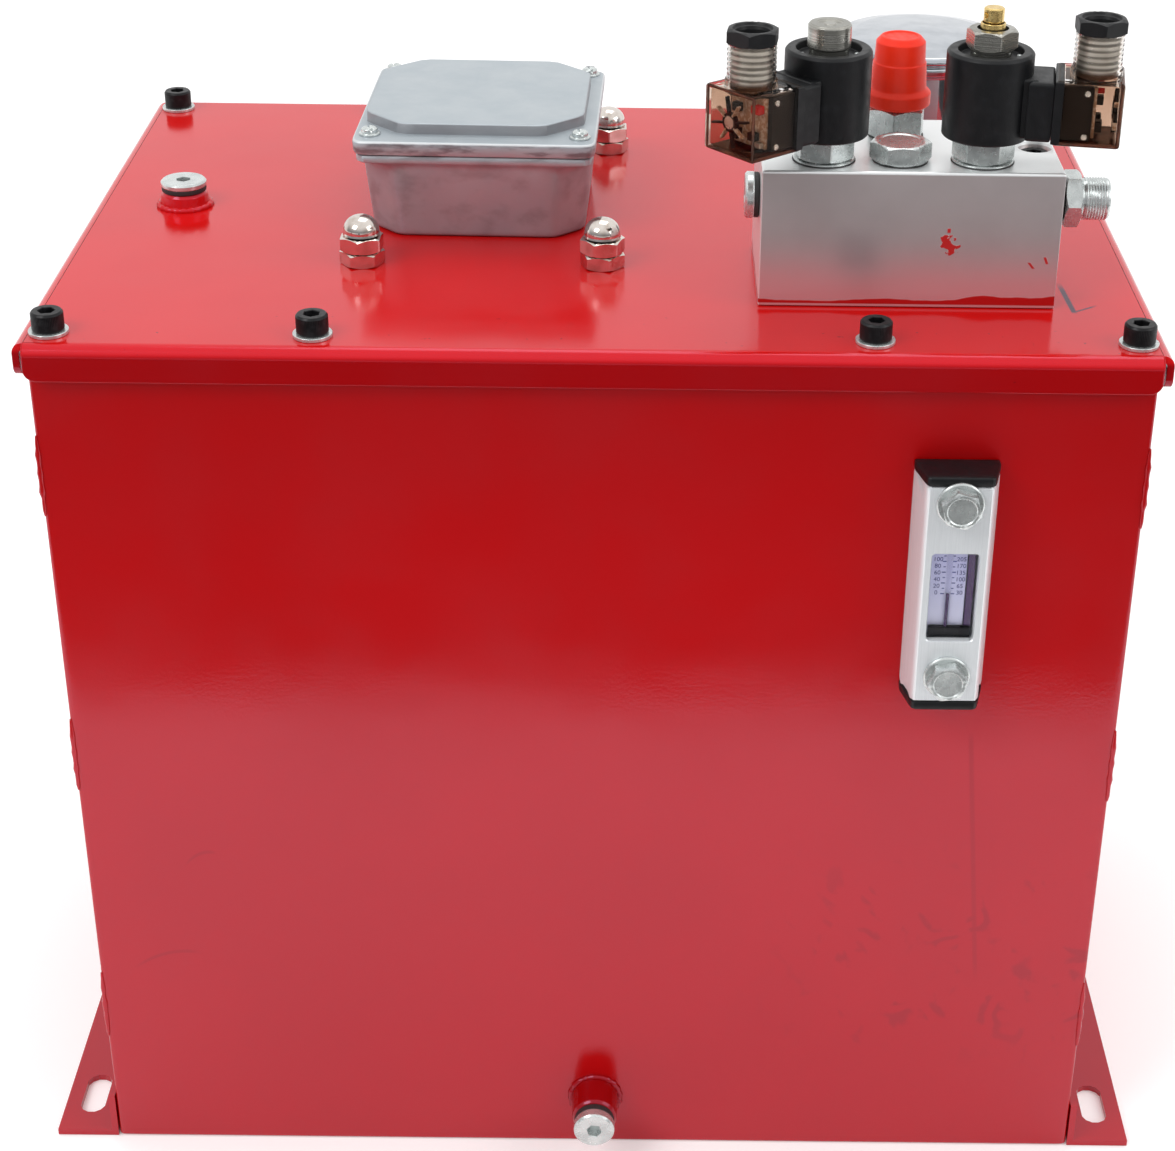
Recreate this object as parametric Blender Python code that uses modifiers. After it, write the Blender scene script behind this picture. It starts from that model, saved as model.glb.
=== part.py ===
"""Hydraulic power unit.

A welded steel oil tank on two angle feet, closed by a screwed-down lid.  The lid carries a motor and
gear pump that hang in the oil, the terminal box above them, a filler breather, a fill plug, and a
manifold block with two solenoid cartridge valves.

Frame: +Z up, +X to the right seen from the gauge side, which faces -Y.  The origin is the centre of
the tank's underside.  Sizes below are in millimetres, and MM turns them into metres.
"""
import math

import bmesh
import bpy
from mathutils import Matrix, Vector

MM = 0.001
GAP = 0.3                       # clearance kept between two touching pieces

# Tank
TANK_WIDTH, TANK_DEPTH, TANK_HEIGHT, SHEET = 450, 314, 402, 3
RIM_WIDTH, RIM_THICK = 27, 6    # flange welded round the inside of the mouth
FOOT_REACH, FOOT_LEG, FOOT_SHEET = 254, 23.7, 3
SLOT_X, SLOT_Y, SLOT_WIDTH, SLOT_LENGTH = 241, 131, 12, 27
DRAIN_X, DRAIN_Z, BOSS_RADIUS, PLUG_NECK = 1, 27.5, 12, 6.5

# Lid
LID_WIDTH, LID_DEPTH, LID_TOP, LID_LIP = 460, 324, 407, 15
LID_UNDER = LID_TOP - SHEET
SCREW_PLACES = [(x, y) for x in (-217, -112, 112, 217) for y in (-147, 147)]
SCREW_SHANK = 4
FILL_X, FILL_Y, FILL_BOSS_TOP = -189, 5, 414
BREATHER_X, BREATHER_Y, BREATHER_HOLE = 146, 60, 25

# Motor and pump under the lid, on one axis along X
MOTOR_X, MOTOR_Y, MOTOR_Z = -49.6, 12, 300
STUD_X, STUD_Y, STUD_RADIUS = 51.3, 77.5, 5
GEAR_TEETH, GEAR_PITCH_RADIUS, GEAR_CENTRES = 12, 18, 36.4
PUMP_X = 47                     # middle of the gear pocket along X

# Terminal box
BOX_X, BOX_Y, BOX_HALF_X, BOX_HALF_Y, BOX_TOP = -53.1, 12.2, 52.4, 56.2, 446.7
PLATEAU_X, PLATEAU_Y = -54.3, 15.8
BOX_SCREW_X, BOX_SCREW_FRONT, BOX_SCREW_BACK = 45.4, -45.3, 48.5

# Manifold block and what is screwed into it
BLOCK_LOW, BLOCK_HIGH = (66.5, -110, LID_TOP + GAP), (188.5, -40, 465)
VALVES = {"left": (92, math.radians(221)), "right": (156.5, math.radians(-9))}
VALVE_Y, CHANNEL_Y, CHANNEL_Z = -94, -90, 448
COIL_FOOT, COIL_HEIGHT, COIL_RADIUS, TUBE_RADIUS = 476, 35, 17.5, 7
PLUG_X, PLUG_Y, ADAPTER_X, ADAPTER_Y = 123, -94.5, 124, -61
BOLT_X, BOLT_Y = 180.3, -76

# Level gauge
GAUGE_X, GAUGE_LOW, GAUGE_HIGH, GAUGE_PITCH, GAUGE_DEPTH = 147, 257, 357, 80, 18
GAUGE_BOLT_Z = 269.5


# ---------------------------------------------------------------- tools for making shapes

def new_collection(name):
    collection = bpy.data.collections.new(name)
    bpy.context.scene.collection.children.link(collection)
    return collection


def finish_of(name, colour, roughness, metallic):
    """A Principled material with one colour, roughness and metallic value."""
    material = bpy.data.materials.new(name)
    material.use_nodes = True
    shader = material.node_tree.nodes["Principled BSDF"]
    shader.inputs["Base Color"].default_value = (*colour, 1)
    shader.inputs["Roughness"].default_value = roughness
    shader.inputs["Metallic"].default_value = metallic
    return material


def place(mesh, name, at, turn=(0, 0, 0), finish=None):
    """Put a mesh into the scene: a sub-part if it has a finish, a cutting or joining tool if not."""
    shape = bpy.data.objects.new(name, mesh)
    shape.location = Vector(at) * MM
    shape.rotation_euler = turn
    if finish is None:
        TOOLS.objects.link(shape)
        shape.hide_render = True
        shape.display_type = "WIRE"
    else:
        UNIT.objects.link(shape)
        mesh.materials.append(finish)
    return shape


def to_mesh(work, name):
    bmesh.ops.recalc_face_normals(work, faces=work.faces)
    mesh = bpy.data.meshes.new(name)
    work.to_mesh(mesh)
    work.free()
    return mesh


def block(name, low, high, finish=None, top_round=0):
    """A box between two corners, its upper edges rounded by top_round."""
    middle = [(a + b) / 2 for a, b in zip(low, high)]
    size = [(b - a) * MM for a, b in zip(low, high)]
    work = bmesh.new()
    bmesh.ops.create_cube(work, size=1)
    bmesh.ops.scale(work, verts=work.verts, vec=size)
    if top_round:
        upper = [e for e in work.edges if all(v.co.z > 0 for v in e.verts)]
        bmesh.ops.bevel(work, geom=upper, offset=top_round * MM, segments=2, affect="EDGES", profile=0.5)
    return place(to_mesh(work, name), name, middle, finish=finish)


def prism(name, sides, radius, height, at, finish=None, turn=(0, 0, 0), spin=0.0):
    """A regular prism or cylinder on the point at, its axis along its own +Z before it is turned."""
    work = bmesh.new()
    bmesh.ops.create_cone(work, cap_ends=True, segments=sides, depth=height * MM, radius1=radius * MM,
                          radius2=radius * MM)
    move = Matrix.Translation((0, 0, height * MM / 2)) @ Matrix.Rotation(spin, 4, "Z")
    bmesh.ops.transform(work, matrix=move, verts=work.verts)
    return place(to_mesh(work, name), name, at, turn, finish)


def turned(name, profile, at, finish=None, turn=(0, 0, 0), steps=16):
    """A lathe-turned shape: (radius, height) points, run so that the outer side goes downwards."""
    mesh = bpy.data.meshes.new(name)
    points = [(radius * MM, 0, height * MM) for radius, height in profile]
    mesh.from_pydata(points, [(i, i + 1) for i in range(len(points) - 1)], [])
    shape = place(mesh, name, at, turn, finish)
    screw = shape.modifiers.new("turning", "SCREW")
    screw.steps = screw.render_steps = steps
    screw.use_merge_vertices = True
    screw.merge_threshold = 0.00001
    screw.use_smooth_shade = True
    return shape


def turned_ring(name, profile, at, finish=None, turn=(0, 0, 0), steps=16):
    """As turned, for a closed outline that stays clear of the axis."""
    return turned(name, profile + profile[:1], at, finish, turn, steps)


def extruded(name, outline, length, at, finish=None, turn=(0, 0, 0)):
    """A flat outline in its own XY plane, given its length along its own Z about that plane."""
    curve = bpy.data.curves.new(name + "_outline", "CURVE")
    curve.dimensions = "2D"
    curve.fill_mode = "BOTH"
    curve.extrude = length * MM / 2
    spline = curve.splines.new("POLY")
    spline.points.add(len(outline) - 1)
    for point, (x, y) in zip(spline.points, outline):
        point.co = (x * MM, y * MM, 0, 1)
    spline.use_cyclic_u = True
    return curve_solid(curve, name, at, finish, turn)


def curve_solid(curve, name, at, finish, turn=(0, 0, 0)):
    """The closed mesh of a curve object, with its caps welded on."""
    guide = bpy.data.objects.new(name + "_guide", curve)
    TOOLS.objects.link(guide)
    graph = bpy.context.evaluated_depsgraph_get()
    mesh = bpy.data.meshes.new_from_object(guide.evaluated_get(graph))
    bpy.data.objects.remove(guide)
    work = bmesh.new()
    work.from_mesh(mesh)
    bmesh.ops.remove_doubles(work, verts=work.verts, dist=0.00001)
    return place(to_mesh(work, name), name, at, turn, finish)


def boolean(shape, tools, operation):
    for tool in tools:
        step = shape.modifiers.new(operation.lower(), "BOOLEAN")
        step.object = tool
        step.operation = operation


def cut(shape, *tools):
    boolean(shape, tools, "DIFFERENCE")


def join(shape, *tools):
    boolean(shape, tools, "UNION")


def stadium(name, width, length, height, at):
    """A slot cutter with round ends, long way along Y."""
    work = bmesh.new()
    bmesh.ops.create_cone(work, cap_ends=True, segments=12, depth=height * MM,
                          radius1=width * MM / 2, radius2=width * MM / 2)
    bmesh.ops.rotate(work, verts=work.verts, matrix=Matrix.Rotation(math.pi / 12, 3, "Z"))
    for vert in work.verts:
        vert.co.y += math.copysign((length - width) * MM / 2, vert.co.y)
    return place(to_mesh(work, name), name, at)


def octagon(half_x, half_y, corner):
    """A rectangle with its corners cut off, anticlockwise."""
    quarter = [(half_x, half_y - corner), (half_x - corner, half_y)]
    left = [(-x, y) for x, y in reversed(quarter)]
    return quarter + left + [(-x, -y) for x, y in quarter] + [(-x, -y) for x, y in left]


TO_FRONT, TO_BACK = (math.pi / 2, 0, 0), (-math.pi / 2, 0, 0)
TO_RIGHT, TO_LEFT = (0, math.pi / 2, 0), (0, -math.pi / 2, 0)

for old in list(bpy.data.objects):
    bpy.data.objects.remove(old, do_unlink=True)
UNIT = new_collection("hydraulic_power_unit")
TOOLS = new_collection("cutters")

RED = finish_of("red_paint", (0.55, 0.01, 0.015), 0.25, 0.0)
ZINC = finish_of("zinc_plate", (0.75, 0.77, 0.78), 0.25, 1.0)
NICKEL = finish_of("nickel_plate", (0.8, 0.74, 0.68), 0.15, 1.0)
BLACK_STEEL = finish_of("black_oxide", (0.02, 0.02, 0.022), 0.45, 0.6)
BLACK_PLASTIC = finish_of("black_plastic", (0.015, 0.015, 0.018), 0.5, 0.0)
CAST = finish_of("cast_aluminium", (0.55, 0.57, 0.58), 0.5, 1.0)
BRIGHT_STEEL = finish_of("bright_steel", (0.62, 0.62, 0.63), 0.3, 1.0)
CHROME = finish_of("chrome_plate", (0.85, 0.86, 0.88), 0.08, 1.0)
RUBBER = finish_of("nitrile_rubber", (0.02, 0.02, 0.02), 0.7, 0.0)
RED_PLASTIC = finish_of("red_plastic", (0.85, 0.05, 0.02), 0.35, 0.0)
BRASS = finish_of("brass", (0.7, 0.5, 0.2), 0.3, 1.0)
ANODISED = finish_of("anodised_aluminium", (0.75, 0.76, 0.77), 0.4, 1.0)
SMOKE = finish_of("smoked_plastic", (0.3, 0.27, 0.24), 0.1, 0.0)
GLASS = finish_of("gauge_glass", (0.85, 0.85, 0.95), 0.1, 0.0)
IRON = finish_of("grey_iron", (0.2, 0.2, 0.2), 0.6, 0.8)
WOVEN_STEEL = finish_of("steel_mesh", (0.6, 0.6, 0.58), 0.4, 1.0)


# ---------------------------------------------------------------- tank, feet and drain

def make_tank():
    half_x, half_y = TANK_WIDTH / 2, TANK_DEPTH / 2
    tank = block("tank_shell", (-half_x, -half_y, 0), (half_x, half_y, TANK_HEIGHT), RED)
    inner_x, inner_y = half_x - SHEET, half_y - SHEET
    cut(tank, block("tank_hollow", (-inner_x, -inner_y, SHEET), (inner_x, inner_y, TANK_HEIGHT - RIM_THICK)))
    mouth_x, mouth_y = inner_x - RIM_WIDTH, inner_y - RIM_WIDTH
    cut(tank, block("tank_mouth", (-mouth_x, -mouth_y, SHEET * 2), (mouth_x, mouth_y, TANK_HEIGHT + 1)))
    wall = -half_y
    join(tank, prism("drain_boss", 20, BOSS_RADIUS, 17.5, (DRAIN_X, wall + 1, DRAIN_Z), turn=TO_FRONT))
    cut(tank, prism("drain_bore", 16, PLUG_NECK + GAP, 24, (DRAIN_X, wall + 5, DRAIN_Z), turn=TO_FRONT))
    for z in (GAUGE_BOLT_Z, GAUGE_BOLT_Z + GAUGE_PITCH):
        cut(tank, prism("gauge_hole", 12, STUD_RADIUS + GAP, 9, (GAUGE_X, wall + 6, z), turn=TO_FRONT))
    for x, y in SCREW_PLACES:
        cut(tank, prism("rim_hole", 10, SCREW_SHANK + GAP, 10, (x, y, TANK_HEIGHT - 9)))


def make_feet():
    """Two angle strips, one along each side, with two slots each for the floor bolts."""
    half_x = TANK_WIDTH / 2 + GAP
    for name, side in (("left_foot", -1), ("right_foot", 1)):
        outline = [(half_x, 0), (FOOT_REACH, 0), (FOOT_REACH, FOOT_SHEET), (half_x + FOOT_SHEET, FOOT_SHEET),
                   (half_x + FOOT_SHEET, FOOT_LEG), (half_x, FOOT_LEG)]
        foot = extruded(name, [(side * x, z) for x, z in outline], TANK_DEPTH, (0, 0, 0), RED, TO_FRONT)
        for y in (-SLOT_Y, SLOT_Y):
            cut(foot, stadium("foot_slot", SLOT_WIDTH, SLOT_LENGTH, 10, (side * SLOT_X, y, 0)))


def collar_plug(name, radius, thick, neck, at, turn=(0, 0, 0)):
    """A collar screw plug with a hexagon socket; at is the underside of its collar."""
    profile = [(0, thick), (radius - 0.8, thick), (radius, thick - 0.8), (radius, 0),
               (PLUG_NECK, 0), (PLUG_NECK, -neck), (0, -neck)]
    plug = turned(name, profile, at, ZINC, turn)
    socket = prism(name + "_socket", 6, 4, thick + 6, at, turn=turn)
    socket.location += socket.rotation_euler.to_matrix() @ Vector((0, 0, -4 * MM))
    cut(plug, socket)


# ---------------------------------------------------------------- lid and its screws

def make_lid():
    half_x, half_y = LID_WIDTH / 2, LID_DEPTH / 2
    foot = LID_TOP - LID_LIP
    lid = block("lid", (-half_x, -half_y, foot), (half_x, half_y, LID_TOP), RED, top_round=4)
    inner_x, inner_y = half_x - SHEET, half_y - SHEET
    cut(lid, block("lid_hollow", (-inner_x, -inner_y, foot - 1), (inner_x, inner_y, LID_UNDER)))
    for x in (-half_x, half_x):
        for y in (-half_y, half_y):
            cut(lid, block("lid_notch", (x - 4, y - 4, foot - 1), (x + 4, y + 4, LID_UNDER - 3)))
    join(lid, prism("fill_boss", 20, BOSS_RADIUS, FILL_BOSS_TOP - LID_TOP + 1, (FILL_X, FILL_Y, LID_TOP - 1)))
    holes = [(x, y, SCREW_SHANK + GAP) for x, y in SCREW_PLACES]
    for x in (-STUD_X, STUD_X):
        holes += [(MOTOR_X + x, MOTOR_Y + y, STUD_RADIUS + GAP) for y in (-STUD_Y, STUD_Y)]
    holes += [(FILL_X, FILL_Y, PLUG_NECK + GAP), (BREATHER_X, BREATHER_Y, BREATHER_HOLE)]
    holes += [(BOX_X, BOX_Y, 12), (ADAPTER_X, BLOCK_LOW[1] + 35, 8), (BOLT_X, BOLT_Y, SCREW_SHANK + GAP)]
    for x, y, radius in holes:
        sides = 16 if radius > PLUG_NECK else 12
        cut(lid, prism("lid_hole", sides, radius, 25, (x, y, LID_UNDER - 5)))


def make_gasket():
    low, high = TANK_HEIGHT + GAP, LID_UNDER - GAP
    outer_x, outer_y = TANK_WIDTH / 2 - 1, TANK_DEPTH / 2 - 1
    inner_x, inner_y = outer_x - RIM_WIDTH, outer_y - RIM_WIDTH
    gasket = block("lid_gasket", (-outer_x, -outer_y, low), (outer_x, outer_y, high), RUBBER)
    cut(gasket, block("gasket_mouth", (-inner_x, -inner_y, low - 1), (inner_x, inner_y, high + 1)))
    for x, y in SCREW_PLACES:
        cut(gasket, prism("gasket_hole", 10, SCREW_SHANK + GAP, 6, (x, y, low - 2)))


def cap_screw(name, at, seat=1.6, head=8.0, washer_radius=8.0, finish=BLACK_STEEL):
    """A socket cap screw standing on a washer; at is the washer's underside."""
    top = seat + head
    profile = [(0, top), (6.1, top), (6.5, top - 0.4), (6.5, seat), (washer_radius, seat), (washer_radius, 0),
               (SCREW_SHANK, 0), (SCREW_SHANK, -14), (0, -14)]
    screw = turned(name, profile, at, finish, steps=12)
    cut(screw, prism(name + "_socket", 6, 3.46, 6, (at[0], at[1], at[2] + top - 4)))


# ---------------------------------------------------------------- filler breather

def make_breather():
    """A flanged neck with the filler strainer hanging from it, and the chromed cap over the neck."""
    floor = LID_TOP + GAP
    neck = [(0, 332), (21, 332), (21, 440), (23.5, 440), (23.5, floor + 3), (41, floor + 3), (41, floor),
            (23.5, floor), (23.5, 329), (0, 329)]
    turned("breather_neck", neck, (BREATHER_X, BREATHER_Y, 0), CHROME, steps=20)
    cap = [(0, 477.5), (18, 476.3), (31, 473.8), (37, 471.8), (39.5, 469.5), (39.5, 466.5), (37.5, 464.8),
           (34, 463.5), (33, 461.5), (33, 412), (31, 412), (31, 462), (28, 468), (0, 471)]
    turned("breather_cap", cap, (BREATHER_X, BREATHER_Y, 0), CHROME, steps=28)


# ---------------------------------------------------------------- terminal box

def make_terminal_box():
    floor = LID_TOP + GAP
    body = extruded("terminal_box", octagon(48.2, 53, 14), 37, (BOX_X, BOX_Y, floor + 18.5), CAST)
    flange = octagon(BOX_HALF_X - 1, BOX_HALF_Y - 1, 4)
    join(body, extruded("box_flange", flange, 4, (BOX_X, BOX_Y, BOX_TOP - 2 - GAP)))
    cut(body, extruded("box_hollow", octagon(44.7, 49.5, 16), 40, (BOX_X, BOX_Y, floor + 24)))
    cut(body, prism("box_cable_hole", 16, 12, 20, (BOX_X, BOX_Y, floor - 5)))

    rim = octagon(BOX_HALF_X, BOX_HALF_Y, 4)
    lid = extruded("terminal_box_lid", rim, 6.3, (BOX_X, BOX_Y, BOX_TOP + 3.15), CAST)
    join(lid, extruded("box_plateau", octagon(48.3, 49.3, 16.5), 8, (PLATEAU_X, PLATEAU_Y, BOX_TOP + 7.3)))
    cut(lid, extruded("box_lid_hollow", octagon(44, 45, 16), 10, (PLATEAU_X, PLATEAU_Y, BOX_TOP + 3)))
    corners = [(x, y) for x in (-BOX_SCREW_X, BOX_SCREW_X) for y in (BOX_SCREW_FRONT, BOX_SCREW_BACK)]
    for number, (x, y) in enumerate(corners, 1):
        at = (BOX_X + x, BOX_Y + y, BOX_TOP + 6.3 + GAP)
        cut(lid, prism("box_lid_hole", 8, 2 + 2 * GAP, 14, (at[0], at[1], BOX_TOP - 3)))
        cut(body, prism("box_ear_hole", 8, 2 + 2 * GAP, 14, (at[0], at[1], BOX_TOP - 8)))
        profile = [(0, 3), (2.8, 3), (3.4, 2.4), (3.4, 0), (2, 0), (2, -10.5), (0, -10.5)]
        screw = turned(f"terminal_screw_{number}", profile, at, ZINC, steps=10)
        slit_low, slit_high = (at[0] - 4, at[1] - 0.5, at[2] + 2), (at[0] + 4, at[1] + 0.5, at[2] + 5)
        cut(screw, block("screw_slit", slit_low, slit_high))

    base = floor + 4 + GAP
    strip_low, strip_high = (BOX_X - 32, BOX_Y + 15, base), (BOX_X + 32, BOX_Y + 43, base + 14)
    strip = block("terminal_block", strip_low, strip_high, BLACK_PLASTIC)
    for x in (-21, 0, 21):
        for y in (22, 36):
            join(strip, prism("terminal_post", 6, 3.5, 10, (BOX_X + x, BOX_Y + y, base + 12)))


# ---------------------------------------------------------------- motor, pump and pipework in the oil

def gear_outline(pitch_radius, teeth, turn_by):
    """Involute teeth, 25 degree pressure angle, thinned for running clearance; anticlockwise."""
    module = 2 * pitch_radius / teeth
    pressure = math.radians(25)
    base = pitch_radius * math.cos(pressure)
    root, tip = pitch_radius - 1.22 * module, pitch_radius + 0.88 * module
    half_tooth = math.pi / teeth / 2 - math.radians(1.1)

    def roll(radius):
        across = math.acos(min(1.0, base / radius))
        return math.tan(across) - across

    flank = [base + (tip - base) * part / 2 for part in range(3)]
    side = [(radius, half_tooth + roll(pitch_radius) - roll(radius)) for radius in flank]
    tooth = [(root, side[0][1])] + side
    points = []
    for number in range(teeth):
        middle = turn_by + 2 * math.pi * number / teeth
        points += [(r, middle - a) for r, a in tooth] + [(r, middle + a) for r, a in reversed(tooth)]
    return [(r * math.cos(a), r * math.sin(a)) for r, a in points]


def make_motor():
    """An oil-cooled motor: the stator pack and frame in one can, open at its left end."""
    left, right = MOTOR_X - 75, 32
    shell = turned("motor_can", [(0, right), (64, right), (70, right - 6), (70, left), (46, left),
                                 (46, right - 8), (0, right - 8)], (0, MOTOR_Y, MOTOR_Z), IRON, TO_RIGHT, 24)
    cut(shell, prism("motor_bore", 24, 8 + GAP, 30, (right - 20, MOTOR_Y, MOTOR_Z), turn=TO_RIGHT))
    places = [(x, y) for x in (-STUD_X, STUD_X) for y in (-STUD_Y, STUD_Y)]
    for number, (x, y) in enumerate(places, 1):
        post_x, post_y = MOTOR_X + x, MOTOR_Y + y
        inward = MOTOR_Y + math.copysign(58, y)
        low_y, high_y = sorted((inward, post_y + math.copysign(9, y)))
        lug_low, lug_high = (post_x - 9, low_y, MOTOR_Z - 12), (post_x + 9, high_y, LID_UNDER - 3)
        join(shell, block("motor_lug", lug_low, lug_high))
        cut(shell, prism("stud_hole", 12, STUD_RADIUS + GAP, 30, (post_x, post_y, LID_UNDER - 25)))
        make_stud(f"motor_stud_{number}", post_x, post_y)


def make_stud(name, x, y):
    """A stud from the motor lug with its jam nut and acorn nut above the lid."""
    floor = LID_TOP + GAP
    across_corners = 17 / math.sqrt(3)
    dome = [(0, 428.3), (2.9, 427.7), (5.5, 426), (7.2, 423.6), (7.8, 421), (7.8, 419), (STUD_RADIUS, 418),
            (STUD_RADIUS, LID_UNDER - 19), (0, LID_UNDER - 19)]
    stud = turned(name, dome, (x, y, 0), NICKEL, steps=12)
    join(stud, prism("jam_nut", 6, across_corners, 5.8, (x, y, floor)))
    join(stud, prism("acorn_hex", 6, across_corners, 6.5, (x, y, floor + 6.3), spin=math.radians(12)))


def make_pump():
    pocket_radius = GEAR_PITCH_RADIUS + 3.2
    low_z, idler_z = MOTOR_Z - GEAR_CENTRES - 30, MOTOR_Z - GEAR_CENTRES
    left = 32 + GAP
    housing = block("pump_housing", (left, MOTOR_Y - 30, low_z), (76, MOTOR_Y + 30, MOTOR_Z + 30), IRON)
    for z in (MOTOR_Z, idler_z):
        cut(housing, prism("gear_pocket", 24, pocket_radius, 30, (left - 2, MOTOR_Y, z), turn=TO_RIGHT))
        cut(housing, prism("pump_bearing", 16, 6 + GAP, 16, (left + 26, MOTOR_Y, z), turn=TO_RIGHT))
    middle = (MOTOR_Z + idler_z) / 2
    cut(housing, prism("suction_port", 16, 6, 40, (PUMP_X, MOTOR_Y - 9, low_z - 2)))
    cut(housing, prism("pressure_port", 16, 6 + GAP, 40, (PUMP_X, MOTOR_Y + 9, middle + 20)))

    gear = gear_outline(GEAR_PITCH_RADIUS, GEAR_TEETH, 0.0)
    mate = gear_outline(GEAR_PITCH_RADIUS, GEAR_TEETH, math.pi / GEAR_TEETH)
    rotor = turned("motor_rotor", [(0, 71), (6, 71), (6, 60), (8, 60), (8, 10), (45, 10), (45, -112), (8, -112),
                                   (8, -120), (0, -120)], (0, MOTOR_Y, MOTOR_Z), BRIGHT_STEEL, TO_RIGHT, 20)
    join(rotor, extruded("drive_gear", gear, 20, (PUMP_X, MOTOR_Y, MOTOR_Z), turn=TO_RIGHT))
    idler_shaft = [(0, 71), (6, 71), (6, 40), (0, 40)]
    idler = turned("pump_gear", idler_shaft, (0, MOTOR_Y, idler_z), BRIGHT_STEEL, TO_RIGHT, 16)
    join(idler, extruded("idler_teeth", mate, 20, (PUMP_X, MOTOR_Y, idler_z), turn=TO_RIGHT))


def make_pipes():
    top = MOTOR_Z - GEAR_CENTRES - 30 - GAP
    strainer = [(0, 34), (26, 34), (26, 92), (6, 96), (6, top), (9, top), (9, 101), (28, 97),
                (28, 30), (0, 30)]
    turned("suction_strainer", strainer, (PUMP_X, MOTOR_Y - 9, 0), WOVEN_STEEL)

    start = Vector((PUMP_X, MOTOR_Y + 9, MOTOR_Z + 23))
    end = Vector((ADAPTER_X, BLOCK_LOW[1] + 35, LID_TOP + 8))
    route = [start, start + Vector((0, 0, 37))]
    over = start + Vector((0, 0, 55))
    under = Vector((end.x, end.y, over.z))
    for part in range(1, 8):
        share = part / 8
        route.append(over.lerp(under, share) + Vector((0, 0, 6 * math.sin(math.pi * share) - 3)))
    route += [Vector((end.x, end.y, over.z + 10)), end]
    curve = bpy.data.curves.new("pressure_route", "CURVE")
    curve.dimensions = "3D"
    curve.bevel_depth = 6 * MM
    curve.bevel_resolution = 1
    curve.use_fill_caps = True
    spline = curve.splines.new("POLY")
    spline.points.add(len(route) - 1)
    for point, place_of in zip(spline.points, route):
        point.co = (*(place_of * MM), 1)
    curve_solid(curve, "pressure_pipe", (0, 0, 0), BRIGHT_STEEL)


# ---------------------------------------------------------------- manifold and valves

def make_manifold():
    manifold = block("manifold_block", BLOCK_LOW, BLOCK_HIGH, BRIGHT_STEEL)
    top = BLOCK_HIGH[2]
    width = BLOCK_HIGH[0] - BLOCK_LOW[0]
    channel_at = (BLOCK_LOW[0] - 2, CHANNEL_Y, CHANNEL_Z)
    cut(manifold, prism("cross_channel", 16, 5.5, width + 4, channel_at, turn=TO_RIGHT))
    for x, _ in VALVES.values():
        cut(manifold, prism("valve_cavity", 16, 9.5 + GAP, 26, (x, VALVE_Y, top - 25)))
    cut(manifold, prism("plug_cavity", 16, PLUG_NECK + GAP, 14, (PLUG_X, PLUG_Y, top - 12)))
    cut(manifold, prism("adapter_cavity", 16, PLUG_NECK + GAP, 34, (ADAPTER_X, ADAPTER_Y, top - 32)))
    cut(manifold, prism("pressure_inlet", 16, 6.3, 30, (ADAPTER_X, BLOCK_LOW[1] + 35, LID_TOP - 2)))
    cut(manifold, prism("bolt_hole", 12, SCREW_SHANK + GAP, 70, (BOLT_X, BOLT_Y, LID_TOP - 2)))
    cut(manifold, prism("bolt_counterbore", 16, 7.25, 12, (BOLT_X, BOLT_Y, top - 10)))
    for x in (BLOCK_LOW[0] - 4, BLOCK_HIGH[0] - 8):
        cut(manifold, prism("end_port", 16, PLUG_NECK + GAP, 12, (x, CHANNEL_Y, CHANNEL_Z), turn=TO_RIGHT))

    length = top - LID_TOP - 2
    profile = [(0, -2), (6.1, -2), (6.5, -2.4), (6.5, -9.7), (SCREW_SHANK, -9.7),
               (SCREW_SHANK, -length), (0, -length)]
    bolt = turned("manifold_bolt", profile, (BOLT_X, BOLT_Y, top), BLACK_STEEL, steps=12)
    cut(bolt, prism("bolt_socket", 6, 3.46, 6, (BOLT_X, BOLT_Y, top - 6)))


def make_ports():
    top, across = BLOCK_HIGH[2] + GAP, 22 / math.sqrt(3)
    plug = prism("hex_plug", 6, across, 8, (PLUG_X, PLUG_Y, top), ZINC)
    join(plug, prism("plug_thread", 16, PLUG_NECK, 12, (PLUG_X, PLUG_Y, top - 10)))

    adapter = prism("port_adapter", 6, across, 12.5, (ADAPTER_X, ADAPTER_Y, top), ZINC, spin=math.radians(20))
    join(adapter, prism("adapter_thread", 16, PLUG_NECK, 50, (ADAPTER_X, ADAPTER_Y, top - 12)))
    cut(adapter, prism("adapter_bore", 12, 3.5, 60, (ADAPTER_X, ADAPTER_Y, top - 15)))
    foot = top + 12.5 + GAP
    cap = [(0, 507), (7.6, 507), (9.4, 505.6), (9.7, 498.5), (10.8, 497), (11, 487), (13, 485.5), (13, foot),
           (7.2, foot), (7.2, 504), (0, 504)]
    turned("red_cap", cap, (ADAPTER_X, ADAPTER_Y, 0), RED_PLASTIC)

    collar_plug("side_plug", 9.5, 4, 8, (BLOCK_LOW[0] - 2, CHANNEL_Y, CHANNEL_Z), TO_LEFT)

    right = BLOCK_HIGH[0]
    nipple = [(0, 23), (8, 23), (8.75, 22.2), (8.75, 13), (8, 12), (8, 4.3), (PLUG_NECK, 4.3),
              (PLUG_NECK, -7), (0, -7)]
    fitting = turned("outlet_fitting", nipple, (right, CHANNEL_Y, CHANNEL_Z), ZINC, TO_RIGHT)
    join(fitting, prism("fitting_hex", 6, 11, 7.2, (right + 4.3, CHANNEL_Y, CHANNEL_Z), turn=TO_RIGHT))
    cut(fitting, prism("fitting_bore", 16, 5, 32, (right - 8, CHANNEL_Y, CHANNEL_Z), turn=TO_RIGHT))


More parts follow.
